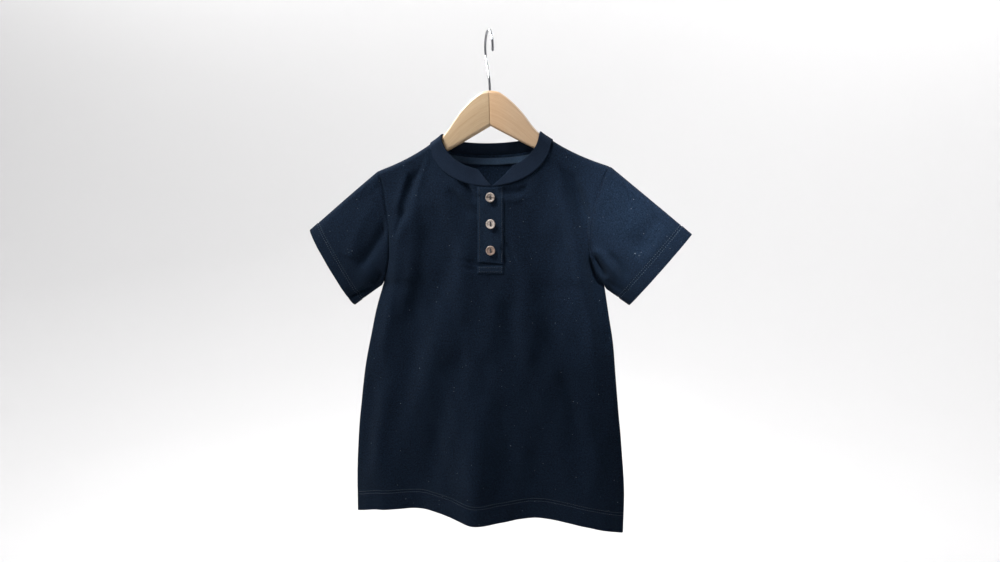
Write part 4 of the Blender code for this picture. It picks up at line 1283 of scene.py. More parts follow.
@dataclass(frozen=True)
class CollarBand:
    """Stand-up band of rib round the neck; its slanted ends meet in a V."""

    top_x: float = 58.5             # upper edge on the shoulder
    drop_front: float = 42.8        # depth of its upper edge
    drop_back: float = 12.1
    wall: float = 2.0
    proud: float = 0.6              # its outer face stands out from the body
    lean: float = 4.5               # it leans in towards the neck
    # side of each end, how far from the middle it is at the seam and at the upper edge
    ends: tuple[tuple[int, float, float], ...] = ((-1, 3.0, -14.0), (1, 3.4, 27.0))
    front_steps: int = 46
    back_steps: int = 50
    up_steps: int = 17
    soft_foot: float = 0.75         # its lower edge is pressed flat
    foot_part: float = 0.34         # over this part of its width

    def outer_point(self, part: Array, turn: Array, face: Face) -> Array:
        """Outer face of the band, `part` of its width up."""
        half = FORM.neck_x + (self.top_x - FORM.neck_x) * part
        seam = FORM.neck_drop(face)
        upper = self.drop_front if face is Face.FRONT else self.drop_back
        x, z = FORM.neck_edge(turn, half, seam + (upper - seam) * part)
        depth = FORM.stand(face, np.abs(x), z, x / FORM.shoulder_x)
        depth = depth - self.lean * part * np.sin(turn) ** 2
        return np.stack((x, face.value * depth, z), axis=-1)

    def turns(self, face: Face, steps: int) -> Array:
        """Angles from the shoulder to the middle, close together over the wood."""
        over = FORM.ridge_half * (1 - np.cos(np.radians(np.arange(0, 91, 7.5))))
        near = np.arcsin(np.minimum(over / FORM.neck_drop(face), 1))
        rest = np.linspace(near[-1], math.pi / 2, steps)[1:]
        return np.concatenate([near, rest])

    def rows(self) -> Array:
        """Outer face: (rows up, columns round), from the left end to the right end."""
        front = self.turns(Face.FRONT, self.front_steps)
        back = self.turns(Face.BACK, self.back_steps)
        off_wood = math.asin(FORM.ridge_half / FORM.neck_drop(Face.FRONT))
        kept = front[np.searchsorted(front, off_wood - 1e-6)]   # turns up to here stay
        grid = []
        for part in np.linspace(0, 1, self.up_steps):
            half = FORM.neck_x + (self.top_x - FORM.neck_x) * part
            row = []
            for side, seam_x, top_x in self.ends:
                end = math.acos(side * (seam_x + (top_x - seam_x) * part) / half)
                stretch = (end - kept) / (front[-1] - kept)
                turn = np.where(front <= kept, front, kept + (front - kept) * stretch)
                ahead = self.outer_point(part, turn[::-1], Face.FRONT)
                behind = self.outer_point(part, back, Face.BACK)
                half_row = np.concatenate([ahead, behind[1:]]) * (side, 1, 1)
                row.append(half_row if side < 0 else half_row[-2::-1])
            grid.append(np.concatenate(row))
        return np.array(grid)

    def mesh(self) -> bpy.types.Mesh:
        """The band with its rounded upper edge."""
        outer = self.rows()
        normal = -grid_normals(outer)
        parts = np.linspace(0, 1, self.up_steps)[:, None, None]
        outer = outer + normal * self.proud
        inner = outer - normal * self.wall
        outer = outer - normal * self.soft_foot * (1 - smooth(parts / self.foot_part))
        up = unit(outer[-1] - outer[-2])
        middle = (outer[-1] + inner[-1]) / 2
        radius = self.wall / 2
        out = normal[-1]
        roll = [middle - up * radius * 0.2 + out * radius * math.cos(a) + up * radius * math.sin(a)
                for a in np.radians((22.5, 45, 67.5, 90, 112.5, 135, 157.5))]
        section = np.concatenate([outer[:-1], outer[-1:] - up[None] * radius * 0.2, roll,
                                  inner[-1:] - up[None] * radius * 0.2, inner[-2::-1]])
        rings = np.swapaxes(section, 0, 1)
        along = running(spans(rings[:, 0]))
        around = running(spans(closed(rings), 1).mean(axis=0))
        uvs = np.stack(np.broadcast_arrays(along[:, None], around[None, :]), axis=-1)
        return loft("collar_band", FORM.hang(rings), uvs)

    def build(self, finish: bpy.types.Material) -> bpy.types.Object:
        """Dress the band."""
        return place("collar_band_rib", self.mesh(), "rib", finish, "collar_band")


def tube(name: str, route: Array, radius: float, side: Array, sides: int,
         tip: bool = False) -> bpy.types.Mesh:
    """Round wire or thread along a route.

    Args:
        name: the mesh's name.
        route: (n, 3) points in millimetres of the object's frame.
        radius: of the tube.
        side: a direction that the route never runs along.
        sides: how many sides it has.
        tip: whether its far end is rounded.

    Returns:
        The mesh.
    """
    tangent = unit(np.gradient(route, axis=0))
    other = unit(np.cross(tangent, side))
    across = np.cross(other, tangent)
    angles = np.linspace(0, 2 * math.pi, sides, endpoint=False)[None, :, None]
    spoke = across[:, None] * np.cos(angles) + other[:, None] * np.sin(angles)
    rings = route[:, None] + spoke * radius
    if tip:
        cap = [route[-1] + tangent[-1] * radius * math.sin(a) + spoke[-1] * radius * math.cos(a)
               for a in np.radians((20, 40, 60, 78, 88))]
        rings = np.concatenate([rings, np.array(cap)])
    return loft(name, rings)


@dataclass(frozen=True)
class Placket:
    """Buttoned strip over the slit, box stitched at its foot, and the strip behind."""

    middle: float = PLACKET_X
    half: float = 16.0
    foot_z: float = -280.0
    wall: float = 1.5
    gap: float = 0.3                # between the panel and the strip
    under_half: float = 14.0
    under_foot_z: float = -271.0
    pressed: float = 1.1            # how far its edges are pressed down
    edge: tuple[tuple[float, float], ...] = ((0.8, 1.9), (0.2, 0.5))    # share, width of each ease
    flat: float = 0.6               # how far the whole strip is ironed down
    under_lift: float = -1.4        # the under strip's outer face above the panel's
    under_wall: float = 1.1
    neck_tuck: float = 0.6          # both start this far below the neck seam
    stitch_in: float = 2.6          # stitching inside its edges
    box_top: tuple[float, float] = (-271.0, -269.6)     # left and right of the foot box
    strip_foot: tuple[float, float] = (-266.2, -268.9)  # left and right end of the strip
    cells: int = 26
    rows: int = 80
    box_rows: int = 12

    def strip(self, xs: Array, z_top: Array, z_foot: Array, rows: int, lift: float,
              wall: float) -> Shell:
        """One flat strip on the front, with rounded edges.

        Args:
            xs: its columns.
            z_top, z_foot: its ends at each column.
            rows: how many rows.
            lift: its outer face above the panel's.
            wall: its thickness.

        Returns:
            The strip's wall.
        """
        t = smooth_ends(rows)[:, None]
        z = z_top + (z_foot - z_top) * t
        x = np.broadcast_to(xs, z.shape)
        from_side = np.minimum(x - xs[0], xs[-1] - x)
        from_end = np.minimum(z_top - z, z - z_foot)
        near = np.minimum(from_side, from_end)
        worn = self.pressed * sum(share * (1 - smooth(near / width)) for share, width in self.edge)
        outer = FORM.on_face(Face.FRONT, x, z, lift - worn)
        inner = FORM.on_face(Face.FRONT, x, z, np.minimum(lift - wall, lift - worn - 0.15))
        return Shell(outer, inner)

    def stitch_paths(self) -> list[Row]:
        """Row inside each edge of the strip, and the box at its foot."""
        lift = self.gap + self.wall - self.flat
        inside, foot = self.half - self.stitch_in, self.foot_z + self.stitch_in
        rows = []
        for x in (self.middle - inside, self.middle + inside):
            for top, end, count, above in (
                    (float(FORM.neck_z(x)) - 3.0, self.strip_foot[0] + 1.5, 60, 0.1),
                    (self.box_top[0] - 1.2, foot, 8, 0.0)):
                z = np.linspace(top, end, count)
                rows.append(face_row(Face.FRONT, np.full(z.shape, x), z, lift + above))
        x = self.middle + inside * np.linspace(-1, 1, 30)
        for z in (self.box_top[0] - 1.4, foot):
            rows.append(face_row(Face.FRONT, x, np.full(x.shape, z), lift))
        return rows

    def columns(self, half: float) -> Array:
        """Columns across a strip, closer at its edges."""
        return self.middle + half * np.sin(np.linspace(-1, 1, self.cells + 1) * math.pi / 2)

    def build(self, finish: bpy.types.Material) -> list[bpy.types.Object]:
        """Dress both strips."""
        xs = self.columns(self.half)
        across = (xs - xs[0]) / (xs[-1] - xs[0])
        lift = self.gap + self.wall + 0.1 - self.flat
        slant, box_top = (left + (right - left) * across
                          for left, right in (self.strip_foot, self.box_top))
        strip = self.strip(xs, FORM.neck_z(xs) - self.neck_tuck, slant, self.rows, lift, self.wall)
        box = self.strip(xs, box_top, np.full(xs.shape, self.foot_z), self.box_rows, lift - 0.1,
                         self.wall)
        over = joined("placket_over", [strip.mesh("strip"), box.mesh("box")])
        xs = self.columns(self.under_half)
        under = self.strip(xs, FORM.neck_z(xs) - self.neck_tuck,
                           np.full(xs.shape, self.under_foot_z), self.rows // 2, self.under_lift,
                           self.under_wall).mesh("placket_under")
        return [place("placket_over_cloth", over, "jersey", finish, "placket_over"),
                place("placket_under_cloth", under, "jersey", finish, "placket_under")]


def smooth_ends(rows: int) -> Array:
    """Parts from 0 to 1 that are closer together at both ends."""
    t = np.linspace(0, 1, rows + 1)
    return t - 0.85 * np.sin(2 * math.pi * t) / (2 * math.pi)


def joined(name: str, meshes: Iterable[bpy.types.Mesh]) -> bpy.types.Mesh:
    """One mesh of several."""
    bm = bmesh.new()
    for mesh in meshes:
        bm.from_mesh(mesh)
        bpy.data.meshes.remove(mesh)
    return meshed(name, bm)


@dataclass(frozen=True)
class NeckTape:
    """Tape sewn over the inside of the back neck seam."""

    high: float = 8.0
    wall: float = 1.0
    gap: float = 0.3                # between the back and the tape
    reach: float = 0.8              # part of the neck's half-width that it covers
    below_seam: float = 1.5

    def shell(self) -> Shell:
        """The tape's wall."""
        turn = np.linspace(math.pi - math.acos(self.reach), math.acos(self.reach), 81)
        x, z_top = FORM.neck_edge(turn, FORM.neck_x, FORM.neck_drop_back)
        z = z_top - self.below_seam - self.high * smooth_ends(12)[:, None]
        x = np.broadcast_to(x, z.shape)
        lift = -FORM.cloth - self.gap
        return Shell(FORM.on_face(Face.BACK, x, z, lift),
                     FORM.on_face(Face.BACK, x, z, lift - self.wall))

    def stitch_paths(self) -> list[Row]:
        """A row inside each long edge."""
        outer = self.shell().inner
        return [grid_row(outer, index, -1, False, (1, 1)) for index in (2, len(outer) - 3)]

    def build(self, finish: bpy.types.Material) -> bpy.types.Object:
        """Dress the tape."""
        mesh = self.shell().mesh("neck_tape")
        return place("neck_tape_twill", mesh, "tape", finish, "neck_tape")


# ---- buttons -----------------------------------------------------------------------------
@dataclass(frozen=True)
class Button:
    """Two-hole button with a raised rim, flat against the placket."""

    name: str
    z: float
    middle: float = PLACKET_X
    lift: float = 1.6               # its back above the front panel
    diameter: float = 11.0
    thick: float = 2.4
    rim: float = 1.3
    hole_d: float = 1.9
    hole_pitch: float = 3.6
    strand: float = 0.52            # thickness of the sewing thread
    sides: int = 56

    def frame(self) -> Matrix:
        """Place and turn of the button, its face out, in millimetres."""
        spots = [FORM.hang(FORM.on_face(Face.FRONT, self.middle, level, self.lift))
                 for level in (self.z, self.z + 4, self.z - 4)]
        seat, above, below = (Vector(spot.ravel().tolist()) for spot in spots)
        up = (above - below).normalized()
        out = Vector((1, 0, 0)).cross(up).normalized()
        out = out if out.y < 0 else -out
        turn = Matrix((up.cross(out), up, out)).transposed().to_4x4()
        return Matrix.Translation(seat) @ turn

    def section(self) -> tuple[tuple[float, float], ...]:
        """Half-section from the back's edge over the rim into the well, as radius and height."""
        radius, well, top = self.diameter / 2, self.diameter / 2 - self.rim, self.thick
        return ((radius - 0.9, 0.0), (radius - 0.35, 0.12), (radius - 0.06, 0.55), (radius, 1.0),
                (radius - 0.02, top - 0.75), (radius - 0.22, top - 0.2), (radius - 0.62, top),
                (well + 0.15, top - 0.12), (well - 0.35, top - 0.5), (well - 0.9, top - 0.62),
                (well * 0.5, top - 0.68), (well * 0.2, top - 0.7))

    def mesh(self) -> bpy.types.Mesh:
        """Lathed body with its two holes."""
        bm = bmesh.new()
        angles = np.linspace(0, 2 * math.pi, self.sides, endpoint=False)
        rings = [[bm.verts.new((r * math.cos(a), r * math.sin(a), up)) for a in angles]
                 for r, up in self.section()]
        bridge(bm, rings)
        bm.faces.new(rings[0][::-1])
        bm.faces.new(rings[-1])
        spare = [linked("blank", meshed("blank", bm))]
        for shift in (-self.hole_pitch / 2, self.hole_pitch / 2):
            drill = bmesh.new()
            bmesh.ops.create_cone(drill, cap_ends=True, segments=24, radius1=self.hole_d / 2,
                                  radius2=self.hole_d / 2, depth=self.thick * 3,
                                  matrix=Matrix.Translation((0, shift, self.thick / 2)))
            spare.append(linked("drill", meshed("drill", drill)))
            step = spare[0].modifiers.new("hole", "BOOLEAN")
            step.operation, step.object, step.solver = "DIFFERENCE", spare[-1], "EXACT"
        made = modified(spare[0])
        for tool in spare:
            bpy.data.objects.remove(tool, do_unlink=True)
        local = np.array([vert.co[:] for vert in made.vertices])
        store(made, "face_x", local[:, 0])
        store(made, "face_y", local[:, 1])
        made.transform(Matrix.Scale(MM, 4) @ self.frame())
        made.name = self.name
        made.shade_smooth()
        made.set_sharp_from_angle(angle=math.radians(50))
        return made

    def threads(self) -> list[bpy.types.Mesh]:
        """Strands of thread from hole to hole."""
        low, high = self.thick - 1.5, self.thick - 0.42
        run = np.linspace(-1, 1, 15)
        y = run * (self.hole_pitch / 2 + 0.25)
        made = []
        for strand, x in enumerate((-0.42, 0.0, 0.42)):
            up = low + (high - low + 0.1 * strand) * smooth((1 - np.abs(run)) / 0.28)
            local = np.stack((x + 0.12 * run * (strand - 1), y, up, np.ones_like(y)), axis=-1)
            route = local @ np.array(self.frame()).T
            made.append(tube("strand", route[:, :3], self.strand / 2, np.array((1.0, 0.0, 0.0)), 8))
        return made

    def build(self, finish: bpy.types.Material) -> bpy.types.Object:
        """Dress the button."""
        return place(f"{self.name}_face", self.mesh(), "button", finish, self.name)


# ---- hanger --------------------------------------------------------------------------------
@dataclass(frozen=True)
class HangerArm:
    """One half of the wooden hanger."""

    name: str
    side: Side
    half_y: float = 5.0
    end_half_y: float = 1.75        # the same at the very tip
    round_edge: float = 4.0
    reach: float = 131.0
    joint: float = 0.15             # half the joint at the middle
    joint_worn: float = 0.35        # the joint's edges are rounded this far in
    joint_round: float = 0.8        # over this length
    end_length: float = 9.0         # the tip is rounded over this length

    @staticmethod
    def middle_z(x: Array | float) -> Array:
        """Height of the arm's middle line at x."""
        return (WOOD_TOP_Z(x) + WOOD_FOOT_Z(x)) / 2

    def section(self, x: float) -> Array:
        """Rounded section at x, as (points, 2) of y and z."""
        past = max((x - self.reach + self.end_length) / self.end_length, 0)
        end = math.sqrt(max(1 - past ** 2, 0))
        near = min(1.0, (x - self.joint) / self.joint_round)
        shrink = self.joint_worn * (1 - math.sqrt(max(1 - (1 - near) ** 2, 0)))
        middle = float(self.middle_z(x))
        half = float(WOOD_TOP_Z(x) - WOOD_FOOT_Z(x)) / 2 * end - shrink
        half_y = self.end_half_y + (self.half_y - self.end_half_y) * end - shrink
        radius = min(self.round_edge, half * 0.8, half_y * 0.8)
        points = []
        for sy, sz, start in ((1, 1, 0), (-1, 1, 90), (-1, -1, 180), (1, -1, 270)):
            for step in np.linspace(0, 90, 7):
                turn = math.radians(start + step)
                points.append((sy * (half_y - radius) + radius * math.cos(turn),
                               middle + sz * (half - radius) + radius * math.sin(turn)))
        return np.array(points)

    def mesh(self) -> bpy.types.Mesh:
        """The arm, lofted along its length."""
        start = self.reach - self.end_length
        tip = self.end_length * (1 - np.sin(np.linspace(0, 1.55, 14)))[1:]
        xs = np.concatenate([(self.joint, 0.3, 0.5, 0.95), np.linspace(2, 60, 40),
                             np.linspace(62, start, 30), self.reach - tip])
        sections = np.array([self.section(float(x)) for x in xs])
        out = np.broadcast_to(self.side.value * xs[:, None, None], (*sections.shape[:2], 1))
        plan = np.concatenate([out, sections], axis=-1)
        made = loft(self.name, FORM.hang(plan))
        # the same points as the mesh has: the rings' and the middles of the two ends
        every = np.concatenate([plan.reshape(-1, 3), plan[(0, -1),].mean(axis=1)])
        x = np.abs(every[:, 0])
        run = running(np.hypot(np.diff(xs), np.diff(self.middle_z(xs))))
        store(made, "grain_x", np.interp(x, xs, run))
        store(made, "grain_y", every[:, 1])
        store(made, "grain_z", every[:, 2] - self.middle_z(x))
        return made

    def build(self, finish: bpy.types.Material) -> bpy.types.Object:
        """Dress the arm."""
        return place(f"{self.name}_wood", self.mesh(), "wood", finish, self.name)


@dataclass(frozen=True)
class Hook:
    """Bent chrome wire, swivelled round its stem."""

    wire: float = 2.8
    radius: float = 20.0
    turn_deg: float = -66.0
    stem_in_wood: float = 14.0
    steps: int = 190
    sides: int = 20

    def route(self) -> Array:
        """Middle line from the stem to the tip, in the object's frame."""
        foot = WOOD_TOP[0][1] - self.stem_in_wood
        stem = [(0.0, foot + 4.0 * k) for k in range(4)]
        stem += [(-0.4, -61.0), (-1.6, -56.0), (-3.8, -50.5), (-6.8, -45.0), (-10.4, -39.4),
                 (-14.0, -33.6)]
        middle = self.wire / 2 - self.radius
        arc = [(self.radius * math.cos(a), middle + self.radius * math.sin(a))
               for a in map(math.radians, range(206, -25, -11))]
        coarse = np.array(stem + arc)
        run = running(spans(coarse))
        fine = np.linspace(0, run[-1], self.steps)
        h, z = (Profile(tuple(zip(run, column)))(fine) for column in coarse.T)
        turn = math.radians(self.turn_deg)
        return FORM.hang(np.stack((h * math.cos(turn), h * math.sin(turn), z), axis=-1))

    def mesh(self) -> bpy.types.Mesh:
        """Round wire with a rounded tip."""
        turn = math.radians(self.turn_deg)
        side = np.array((-math.sin(turn), math.cos(turn), 0.0))
        return tube("hanger_hook", self.route(), self.wire / 2, side, self.sides, tip=True)

    def build(self, finish: bpy.types.Material) -> bpy.types.Object:
        """Dress the hook."""
        return place("hanger_hook_wire", self.mesh(), "chrome", finish, "hanger_hook")


# ---- sewing ----------------------------------------------------------------------------
@dataclass(frozen=True)
class Row:
    """Path of one row of stitches.

    Args:
        points: (n, 3) places on the cloth, in millimetres of the object's frame.
        lifts: (n, 3) directions out of the cloth.
    """

    points: Array
    lifts: Array


def face_row(face: Face, x: Array, z: Array, lift: float) -> Row:
    """Row on a panel's face, through plan points."""
    plan = FORM.on_face(face, x, z, lift)
    beyond = FORM.on_face(face, x, z, lift + 1.0)
    slope = (FORM.stand(face, x, z - 0.5, x / FORM.shoulder_x)
             - FORM.stand(face, x, z + 0.5, x / FORM.shoulder_x))
    out = beyond - plan + np.stack((np.zeros_like(slope), np.zeros_like(slope), slope), axis=-1)
    return Row(FORM.hang(plan), out)


def grid_row(outer: Array, index: int, sign: int, wrap: bool, ends: tuple[int, int]) -> Row:
    """Row along one ring of a grid of outer points.

    Args:
        outer: the grid of plan points.
        index: which of its rows.
        sign: which way its normals have to be turned.
        wrap: whether the ring is closed.
        ends: columns left out at either end.

    Returns:
        The row.
    """
    normal = grid_normals(outer, wrap=wrap)[index] * sign
    points = FORM.hang(outer[index])
    stop = len(points) - ends[1]
    points, normal = points[ends[0]:stop], normal[ends[0]:stop]
    if wrap:
        points, normal = (np.concatenate([a, a[:1]]) for a in (points, normal))
    return Row(points, normal)


class StitchTree:
    """Geometry Nodes tree that lays short threads along a path."""

    SIZES = ("Pitch", "Length", "Thick", "Sway", "Lift")

    def __init__(self) -> None:
        """Build the tree once for all rows."""
        self.tree = bpy.data.node_groups.new("stitches", "GeometryNodeTree")
        for name, way, kind in (("Geometry", "INPUT", "Geometry"),
                                *((name, "INPUT", "Float") for name in self.SIZES),
                                ("Thread", "INPUT", "Material"),
                                ("Geometry", "OUTPUT", "Geometry")):
            self.tree.interface.new_socket(name, in_out=way, socket_type=f"NodeSocket{kind}")
        given = self.node("NodeGroupInput").node.outputs
        curve = self.node("GeometryNodeMeshToCurve", {}, {0: given["Geometry"]})
        points = self.node("GeometryNodeResampleCurve", {"mode": "LENGTH"},
                           {"Curve": curve, "Length": given["Pitch"]})
        bead = self.node("GeometryNodeMeshUVSphere", {},
                         {"Segments": 6, "Rings": 5, "Radius": 0.5})
        along = self.node("GeometryNodeInputTangent")
        lift = self.node("GeometryNodeInputNamedAttribute", {"data_type": "FLOAT_VECTOR"},
                         {"Name": "lift"})
        first = self.node("FunctionNodeAlignRotationToVector", {"axis": "X"}, {"Vector": along})
        second = self.node("FunctionNodeAlignRotationToVector", {"axis": "Z", "pivot_axis": "X"},
                           {"Rotation": first, "Vector": lift})
        minus = self.node("ShaderNodeMath", {"operation": "MULTIPLY"},
                          {0: given["Sway"], 1: -1.0})
        sway = self.node("FunctionNodeRandomValue", {"data_type": "FLOAT"},
                         {2: minus, 3: given["Sway"], "Seed": 11}, out=1)
        turn = self.node("FunctionNodeAxisAngleToRotation", {},
                         {"Axis": (0.0, 0.0, 1.0), "Angle": sway})
        swayed = self.node("FunctionNodeRotateRotation", {"rotation_space": "LOCAL"},
                           {"Rotation": second, "Rotate By": turn})
        uneven = self.node("FunctionNodeRandomValue", {"data_type": "FLOAT"},
                           {2: 0.82, 3: 1.08, "Seed": 5}, out=1)
        length = self.node("ShaderNodeMath", {"operation": "MULTIPLY"},
                           {0: given["Length"], 1: uneven})
        size = self.node("ShaderNodeCombineXYZ", {},
                         {0: length, 1: given["Thick"], 2: given["Thick"]})
        rise = self.node("ShaderNodeVectorMath", {"operation": "SCALE"},
                         {0: lift, "Scale": given["Lift"]})
        raised = self.node("GeometryNodeSetPosition", {}, {"Geometry": points, "Offset": rise})
        rows = self.node("GeometryNodeInstanceOnPoints", {},
                         {"Points": raised, "Instance": bead, "Rotation": swayed, "Scale": size})
        real = self.node("GeometryNodeRealizeInstances", {}, {0: rows})
        dressed = self.node("GeometryNodeSetMaterial", {},
                            {"Geometry": real, "Material": given["Thread"]})
        made = self.tree.nodes.new("NodeGroupOutput")
        self.tree.links.new(dressed, made.inputs[0])

    def node(self, kind: str, settings: dict[str, Any] | None = None,
             sockets: dict[str | int, Any] | None = None, out: int = 0) -> bpy.types.NodeSocket:
        """Add one node, set it, feed its inputs with values or outputs; give one output."""
        made = self.tree.nodes.new(kind)
        for key, value in (settings or {}).items():
            setattr(made, key, value)
        for key, value in (sockets or {}).items():
            if isinstance(value, bpy.types.NodeSocket):
                self.tree.links.new(value, made.inputs[key])
            else:
                made.inputs[key].default_value = value
        return made.outputs[out]

    def identifier(self, name: str) -> str:
        """Identifier of a named input."""
        return next(item.identifier for item in self.tree.interface.items_tree
                    if item.name == name and item.in_out == "INPUT")


@dataclass(frozen=True)
class Seam:
    """Kind of stitching: its pitch, the length and thickness of a stitch, in mm."""

    pitch: float
    length: float
    thick: float
    sway: float = 0.1
    lift: float = 0.05

    def sew(self, tree: StitchTree, name: str, rows: Sequence[Row], slot: str,
            thread: bpy.types.Material) -> bpy.types.Object:
        """Sew rows of this kind as one piece.

        Args:
            tree: the tree that lays the stitches.
            name: the piece's name.
            rows: the paths.
            slot: the record's material slot.
            thread: the thread's material.

        Returns:
            The piece.
        """
        points = np.concatenate([row.points for row in rows])
        starts = np.cumsum([0] + [len(row.points) for row in rows])
        edges = [(a, a + 1) for low, high in zip(starts, starts[1:]) for a in range(low, high - 1)]
        path = bpy.data.meshes.new(name)
        path.from_pydata((points * MM).tolist(), edges, [])
        store(path, "lift", unit(np.concatenate([row.lifts for row in rows])))
        holder = linked(f"{name}_path", path)
        step = holder.modifiers.new("stitches", "NODES")
        step.node_group = tree.tree
        sizes = (self.pitch * MM, self.length * MM, self.thick * MM, self.sway, self.lift * MM)
        for key, value in zip(StitchTree.SIZES, sizes):
            step[tree.identifier(key)] = value
        step[tree.identifier("Thread")] = thread
        mesh = modified(holder)
        holder.modifiers.remove(step)
        bpy.data.objects.remove(holder, do_unlink=True)
        mesh.name = name
        mesh.shade_smooth()
        return place(name, mesh, slot, thread)


# ---- studio --------------------------------------------------------------------------------
@dataclass(frozen=True)
class Light:
    """Soft square light: where it is, where it aims, its side in metres and its power."""

    name: str
    at: tuple[float, float, float]
    to: tuple[float, float, float]
    size: float
    power: float
    spread: float = 180.0           # degrees


@dataclass(frozen=True)
class Studio:
    """Pale ground, soft light and the photograph's camera."""

    azimuth: float = 11.0
    elevation: float = 9.0
    distance: float = 1.05
    target: tuple[float, float, float] = (0.0135, 0.0, -0.291)
    lens: float = 31.5
    sensor: float = 36.0
    floor_z: float = -0.9
    flat_out_to: float = 1.0        # the ground is flat this far, then it curves up
    bowl: float = 3.2
    rise: float = 2.9
    spokes: int = 96
    ground: tuple[float, float, float] = (0.55, 0.55, 0.55)
    world: tuple[float, float, float] = (1.0, 0.92, 1.0)
    world_strength: float = 0.21
    lights: tuple[Light, ...] = (
        Light("key", (-0.46, -0.25, 0.45), (0.0, 0.0, -0.20), 0.24, 16.5),
        Light("fill", (0.24, -0.40, 0.10), (0.180, 0.0, -0.222), 0.05, 0.235, 29.0),
        Light("rear", (-0.60, 0.42, 0.42), (0.0, 0.0, -0.25), 0.4, 9.0),
        Light("ground_left", (-1.9, 1.7, 1.9), (-1.9, 2.9, -0.4), 1.8, 118.0),
        Light("ground_right", (1.5, 1.8, 1.9), (1.5, 2.9, -0.4), 1.8, 98.0),
    )

    def camera(self) -> None:
        """Camera that sees what the photograph shows."""
        az, el = math.radians(self.azimuth), math.radians(self.elevation)
        back = Vector((math.sin(az) * math.cos(el), -math.cos(az) * math.cos(el), math.sin(el)))
        data = bpy.data.cameras.new("camera")
        data.sensor_width, data.lens = self.sensor, self.lens
        made = linked("camera", data)
        made.location = Vector(self.target) + back * self.distance
        made.rotation_euler = back.to_track_quat("Z", "Y").to_euler()
        bpy.context.scene.camera = made

    def floor(self) -> None:
        """Shallow bowl that shows as a plain pale ground from every side."""
        bm = bmesh.new()
        turns = np.linspace(0, 2 * math.pi, self.spokes, endpoint=False)
        radii = np.linspace(0.2, self.bowl, 30)
        ups = self.floor_z + self.rise * smooth(
            (radii - self.flat_out_to) / (self.bowl - self.flat_out_to))
        rings = [[bm.verts.new((r * math.cos(a), r * math.sin(a), up)) for a in turns]
                 for r, up in zip(radii, ups)]
        bridge(bm, rings[::-1])
        bm.faces.new(rings[0])
        mesh = meshed("floor", bm)
        mesh.materials.append(Tree("ground").principled(Base_Color=self.ground, Roughness=0.95))
        made = linked("floor", mesh)

    def light(self, light: Light) -> None:
        """Put one light in and aim it."""
        data = bpy.data.lights.new(light.name, "AREA")
        data.size, data.energy = light.size, light.power
        data.spread = math.radians(light.spread)
        made = linked(light.name, data)
        made.location = light.at
        made.visible_camera = False
        aim = Vector(light.at) - Vector(light.to)
        made.rotation_euler = aim.to_track_quat("Z", "Y").to_euler()

    def build(self) -> None:
        """Set the studio."""
        self.camera()
        self.floor()
        for light in self.lights:
            self.light(light)
        world = bpy.data.worlds.new("world")
        world.use_nodes = True
        background = world.node_tree.nodes["Background"]
        background.inputs["Color"].default_value = (*self.world, 1.0)
        background.inputs["Strength"].default_value = self.world_strength
        bpy.context.scene.world = world
        bpy.context.scene.view_settings.view_transform = "Standard"


# ---- the whole shirt -------------------------------------------------------------------------
JERSEY = Knit("jersey", (0.0048, 0.0096, 0.0190), heather=1.0, lint=0.5)
# painted light: the placket is the body's jersey, made lighter here to stand in for light that the
# hanger and collar keep off it
PLACKET_JERSEY_PAINTED_LIGHT = Knit("placket_jersey", (0.0072, 0.0137, 0.0258), heather=0.9, lint=0.3)
# painted light: the rib is made lighter than the jersey to stand in for light on the collar band
RIB_PAINTED_LIGHT = Knit("rib", (0.0082, 0.0140, 0.0262), heather=0.4, ribs=1.5, relief=0.00035)
# painted highlight: the tape is made much lighter than the jersey because it faces up into the
# light
TAPE_PAINTED_HIGHLIGHT = Knit("tape", (0.0200, 0.0340, 0.0560), heather=0.3, ribs=1.1, relief=0.00025)
THREAD = Thread("thread", (0.022, 0.036, 0.052))
DULL_THREAD = Thread("dull_thread", (0.008, 0.015, 0.026))
DARK_THREAD = Thread("dark_thread", (0.008, 0.012, 0.020))
HEM_SEAM = Seam(2.5, 1.8, 0.5)
SLEEVE_SEAM = Seam(2.7, 1.4, 0.62)
FINE_SEAM = Seam(2.2, 1.7, 0.42)


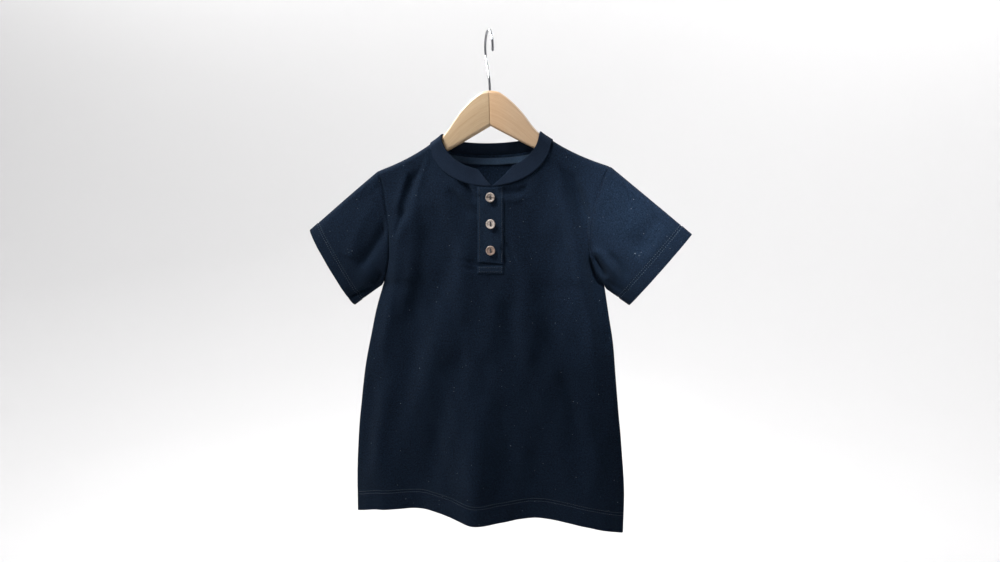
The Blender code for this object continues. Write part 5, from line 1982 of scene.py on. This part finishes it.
BUTTONS = (
    (Button("button_top", -190.0),
     ButtonGrain("button_top", (0.32, 0.268, 0.232), (0.080, 0.058, 0.047), 1.0, 0.0)),
    (Button("button_middle", -221.0),
     ButtonGrain("button_middle", (0.45, 0.395, 0.355), (0.17, 0.132, 0.108), 0.4, 13.7)),
    (Button("button_bottom", -252.0),
     ButtonGrain("button_bottom", (0.27, 0.185, 0.142), (0.055, 0.031, 0.021), 0.0, 31.1)),
)
ARMS = (
    (HangerArm("hanger_arm_left", Side.LEFT),
     VarnishedWood("wood_left", (0.400, 0.292, 0.176), (0.30, 0.197, 0.102), 0.0, 0.0)),
    (HangerArm("hanger_arm_right", Side.RIGHT),
     VarnishedWood("wood_right", (0.46, 0.325, 0.205), (0.34, 0.215, 0.115), 41.0, 0.25)),
)
# Sleeves: the opening's upper and lower corner (x, z) and how far it swings back.
SLEEVES = (("sleeve_left", Side.LEFT, (236, -231), (178.5, -326), 12.0),
           ("sleeve_right", Side.RIGHT, (231, -236.5), (165, -316), 2.0))


def main() -> None:
    """Dress every piece of the shirt and report it."""
    logging.basicConfig(level=logging.INFO, format="%(name)s: %(message)s")
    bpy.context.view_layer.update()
    jersey, thread = JERSEY.make(), THREAD.make()
    dull, dark = DULL_THREAD.make(), DARK_THREAD.make()
    arms = [arm.build(wood.make()) for arm, wood in ARMS]
    Hook().build(Chrome("chrome").make())
    tree = StitchTree()
    front, back = Panel("front", Face.FRONT), Panel("back", Face.BACK)
    sleeves = [Sleeve(name, side, (front.armhole(side), back.armhole(side)), *opening)
               for name, side, *opening in SLEEVES]
    for cloths, seam, rests_on in (((front, back), HEM_SEAM, arms),
                                   (sleeves, SLEEVE_SEAM, ["front_cloth", "back_cloth"])):
        for cloth in cloths:
            piece = cloth.build(jersey)
            hem = seam.sew(tree, f"{cloth.name}_hem_stitches", cloth.stitch_paths(), "jersey",
                           thread)
            flat, area = cloth.cut()
            LOG.info("%s: flat %s, area %.4f", cloth.name, flat, area)
    CollarBand().build(RIB_PAINTED_LIGHT.make())
    placket = Placket()
    placket.build(PLACKET_JERSEY_PAINTED_LIGHT.make())
    FINE_SEAM.sew(tree, "placket_stitches", placket.stitch_paths(), "jersey", dull)
    tape = NeckTape()
    tape.build(TAPE_PAINTED_HIGHLIGHT.make())
    FINE_SEAM.sew(tree, "tape_stitches", tape.stitch_paths(), "tape", dull)
    for button, finish in BUTTONS:
        button.build(finish.make())
        place(f"{button.name}_thread", joined("thread", button.threads()), "button", dark)
    Studio().build()


if __name__ == "__main__":
    main()
